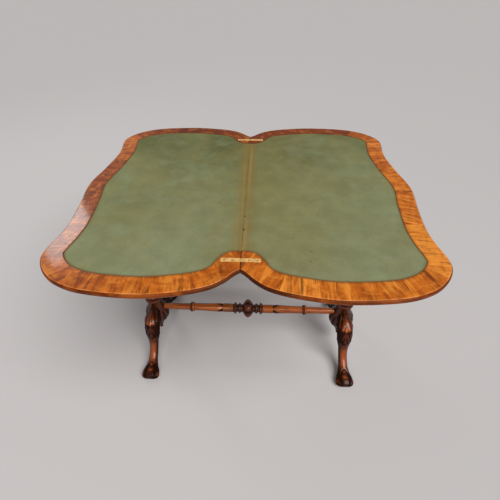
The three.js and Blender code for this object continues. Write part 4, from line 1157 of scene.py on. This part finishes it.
# Petals at the end of a rod's thin part: between them a notch widens evenly towards the boss and
# stops there at a steep wall
def petalNotch(share, angle):
    along = (stretcher["notchEnd"] - share) / (stretcher["notchEnd"] - stretcher["notchWall"])
    half = pi / stretcher["petals"]
    off = (angle - radians(stretcher["petalTurn"]) + half) % (2 * half) - half
    away = half - np.abs(off)  # from the middle of the notch
    inNotch = smoothStep(along * half * stretcher["petalReach"] - away, 0, stretcher["petalEdge"])
    return inNotch * (along > 0) * (1 - smoothStep(along, stretcher["wallStart"], 1.0))


# A rod: turned, with the petal notches, its rings, two tenons and its coped end at the pillar. Painted
# shade lies in the notches and on the ring's bead that faces -x, dirt and painted shade in the hollows, and
# dirt beside the boss; wear and painted highlights on the crests.
def stretcherRod(name, side, node):
    sides, tenon, size = stretcher["sides"], stretcher["tenon"], stretcher["ringSize"]
    share = sharesWith(stretcher["rows"], stretcher["notchRows"], stretcher["ringRows"])
    radii = profileRadii(stretcher, share)
    start, far = boss["reach"] + stretcher["gap"], support["place"] - support["radius"]
    angle = np.linspace(0, 2 * pi, sides, endpoint=False)[None]
    notch = petalNotch(share[:, None], angle)
    radius = radii[:, None] - stretcher["notchDepth"] * notch
    x = np.broadcast_to((start + share * rodLength)[:, None], radius.shape)
    rings = np.stack([x, radius * np.cos(angle), radius * np.sin(angle)], -1)
    first = laidAlongX(barRings(tenon, start - stretcher["tenonLength"], start, sides))
    last = laidAlongX(barRings(tenon, start + rodLength, far + stretcher["tenonLength"], sides))
    rings = np.concatenate([first, rings, last]) + [0, 0, stretcher["height"]]
    points, faces = closedTube(mirroredX(rings, side))
    piece = newPiece(name, points, faces, rodMaterial, "base", "walnut", node, sharp=stretcher["sharp"])
    bend = profileBend(radii, share, angle)
    # painted shade on the ring's bead that faces -x, which the light from +x leaves dark
    ring = bell(share - stretcher["ring"] + size * side, size)[:, None]
    wall = stretcher["notchWall"]
    inner = (1 - smoothStep(share, wall - stretcher["innerEase"], wall))[:, None]
    shade = inner * stretcher["innerShade"][side] + ring * stretcher["ringShade"]
    hollow = smoothStep(bend, *stretcher["hollowSpan"]) * stretcher["hollow"]
    wearAndHighlight = smoothStep(-bend, *stretcher["wearSpan"]) * stretcher["wear"]
    pad = ((2, 2), (0, 0))  # the two rings of each tenon
    setDirtShadeAndWear(piece, np.pad(notch * stretcher["notchShade"] + hollow + shade, pad), np.pad(wearAndHighlight, pad))
    return keepTenon(shapeWith(piece, [pillarShell(side, 0.4, 80)], sharp=stretcher["sharp"]), side, far)


# The tenon that the coping took off goes back on inside the pillar
def keepTenon(piece, side, far):
    start, end = far - stretcher["tenonOver"], far + stretcher["tenonLength"]
    ring = laidAlongX(barRings(stretcher["tenon"], start, end, stretcher["tenonSides"]))
    tenon = newPiece("tool", *closedTube(mirroredX(ring + [0, 0, stretcher["height"]], side)))
    return shapeWith(piece, [tenon], "UNION", sharp=stretcher["sharp"])


# The boss: turned along X, its middle cut into deep rounded lobes by narrow grooves
def stretcherBoss(name, node):
    share = np.linspace(-1, 1, boss["rows"])
    radii = profileRadii(boss, np.abs(share))
    angle = np.linspace(0, 2 * pi, boss["sides"], endpoint=False)[None]
    lobed = 1 - smoothStep(np.abs(share), *boss["lobedSpan"])[:, None]
    groove = lobeGroove(angle - radians(boss["lobeTurn"]), boss["lobes"], boss["lobePower"])
    radius = radii[:, None] * (1 - boss["lobeDepth"] * groove * lobed)
    x = np.broadcast_to((share * boss["reach"])[:, None], radius.shape)
    rings = np.stack([x, radius * np.cos(angle), radius * np.sin(angle) + stretcher["height"]], -1)
    points, faces = closedTube(rings)
    piece = newPiece(name, points, faces, pillarMaterial, "base", "carved_walnut", node, sharp=50)
    bend = profileBend(radii, share, angle)
    hollow, ringed = (smoothStep(way * bend, *boss["bendSpan"]) for way in (1, -1))
    # dirt and painted shade in the grooves and hollows, wear and painted highlights on the lobes' crowns and
    # the rings
    setDirtShadeAndWear(piece, lobed * groove ** 1.5 + hollow * boss["hollow"],
            lobed * (1 - groove) ** 3 * boss["lobeWearAndHighlight"] + ringed * boss["ringWearAndHighlight"])
    return piece


for sideName, side in (("left", -1), ("right", 1)):
    stretcherRod(f"{sideName}_rod", side, f"stretcher_rod_{sideName}")
stretcherBoss("boss", "stretcher_boss")
print("stage: stretcher")


# CAD nodes that show as they are: brass for plates, links and pins, iron for the pivot, pine for the rest
for name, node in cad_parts.items():
    if node.hide_render:
        continue
    brass = any(word in name for word in ("plate", "link", "pin"))
    iron = name.startswith("pivot_") and name != "pivot_bearer"
    node.data.materials.clear()
    node.data.materials.append(ironMaterial if iron else brassMaterial if brass else pineMaterial)
print("stage: carried-over nodes")


# Each lamp has a name, a place, a size and a power
studio = dict(
    backdrop=colour(190, 186, 185), floor=colour(193, 189, 188), floorReach=40, floorDrop=0.5, ambient=0.19,
    sun=2.97, sunTurn=(27, 29, 0), sunSoftness=42, lampAim=(0, 0, 0.35),
    lamps=[("frontSoftbox", (-0.5, -2.6, 2.2), 0.2, 14), ("sideSoftbox", (2.2, -0.9, 2.5), 0.2, 2.5),
           ("windowPane", (-1.93, 1.77, 2.43), 0.52, 7.6)],
    place=(0.0421, -0.8643, 1.2801), yaw=-3.56, pitch=38.55, roll=-1.12, lens=24.97, film=36,
    shift=(0.013, -0.0488), clip=(0.01, 200),
)


# A flat square a little under the feet, wider than any view
def plainFloor():
    side = studio["floorReach"]
    corners = np.array([[-side, -side, 0], [side, -side, 0], [side, side, 0], [-side, side, 0]], float)
    floor = newPiece("floor", corners / mm - [0, 0, studio["floorDrop"]], [np.array([[0, 1, 2, 3]])])
    if floor.data.polygons[0].normal.z < 0:
        floor.data.flip_normals()
    material, _ = newMaterial("studioFloor", Base_Color=studio["floor"], Roughness=0.9,
                              Specular_IOR_Level=0.1)
    floor.data.materials.append(material)


# The camera, shine and glass see the plain backdrop; all else gets the faint ambient light
def paleWorld():
    world = bpy.data.worlds.new("studioWorld")
    bpy.context.scene.world = world
    world.use_nodes = True
    tree = world.node_tree
    light = tree.nodes["Background"]
    light.inputs["Color"].default_value = grey(1)
    light.inputs["Strength"].default_value = studio["ambient"]
    seen = addNode(tree, "Background", {"Color": studio["backdrop"], "Strength": 1.0})
    rays = addNode(tree, "LightPath")
    direct = maths(tree, "MAXIMUM", rays.outputs["Is Camera Ray"], rays.outputs["Is Transmission Ray"])
    direct = maths(tree, "MAXIMUM", direct, rays.outputs["Is Glossy Ray"])
    mix = addNode(tree, "MixShader", {0: direct, 1: light.outputs[0], 2: seen.outputs[0]})
    tree.links.new(mix.outputs[0], tree.nodes["World Output"].inputs[0])


# A lamp or camera as an object of the scene
def placed(name, thing):
    made = bpy.data.objects.new(name, thing)
    bpy.context.scene.collection.objects.link(made)
    return made


# A soft sun from above, and square lamps that look at the aim
def studioLamps():
    sun = bpy.data.lights.new("skylight", "SUN")
    sun.energy, sun.angle = studio["sun"], radians(studio["sunSoftness"])
    placed("skylight", sun).rotation_euler = [radians(a) for a in studio["sunTurn"]]
    for name, place, size, power in studio["lamps"]:
        area = bpy.data.lights.new(name, "AREA")
        area.energy, area.size = power, size
        lamp = placed(name, area)
        lamp.location = place
        lamp.rotation_euler = (Vector(studio["lampAim"]) - Vector(place)).to_track_quat("-Z", "Y").to_euler()


# The camera looks ahead by its yaw and pitch; its right and up are then turned by the roll
def viewpoint():
    yaw, pitch, roll = (radians(studio[name]) for name in ("yaw", "pitch", "roll"))
    ahead = Vector((sin(yaw) * cos(pitch), cos(yaw) * cos(pitch), -sin(pitch)))
    right = Vector((cos(yaw), -sin(yaw), 0))
    up = right.cross(ahead)
    across = cos(roll) * right + sin(roll) * up
    above = -sin(roll) * right + cos(roll) * up
    lens = bpy.data.cameras.new("viewpoint")
    lens.lens, lens.sensor_width, lens.sensor_fit = studio["lens"], studio["film"], "HORIZONTAL"
    lens.shift_x, lens.shift_y = studio["shift"]
    lens.clip_start, lens.clip_end = studio["clip"]
    camera = placed("viewpoint", lens)
    turned = Matrix((across, above, -ahead)).transposed().to_4x4()
    camera.matrix_world = Matrix.Translation(studio["place"]) @ turned
    bpy.context.scene.camera = camera


plainFloor()
paleWorld()
studioLamps()
viewpoint()
bpy.context.scene.view_settings.view_transform = "Standard"
print("stage: studio")
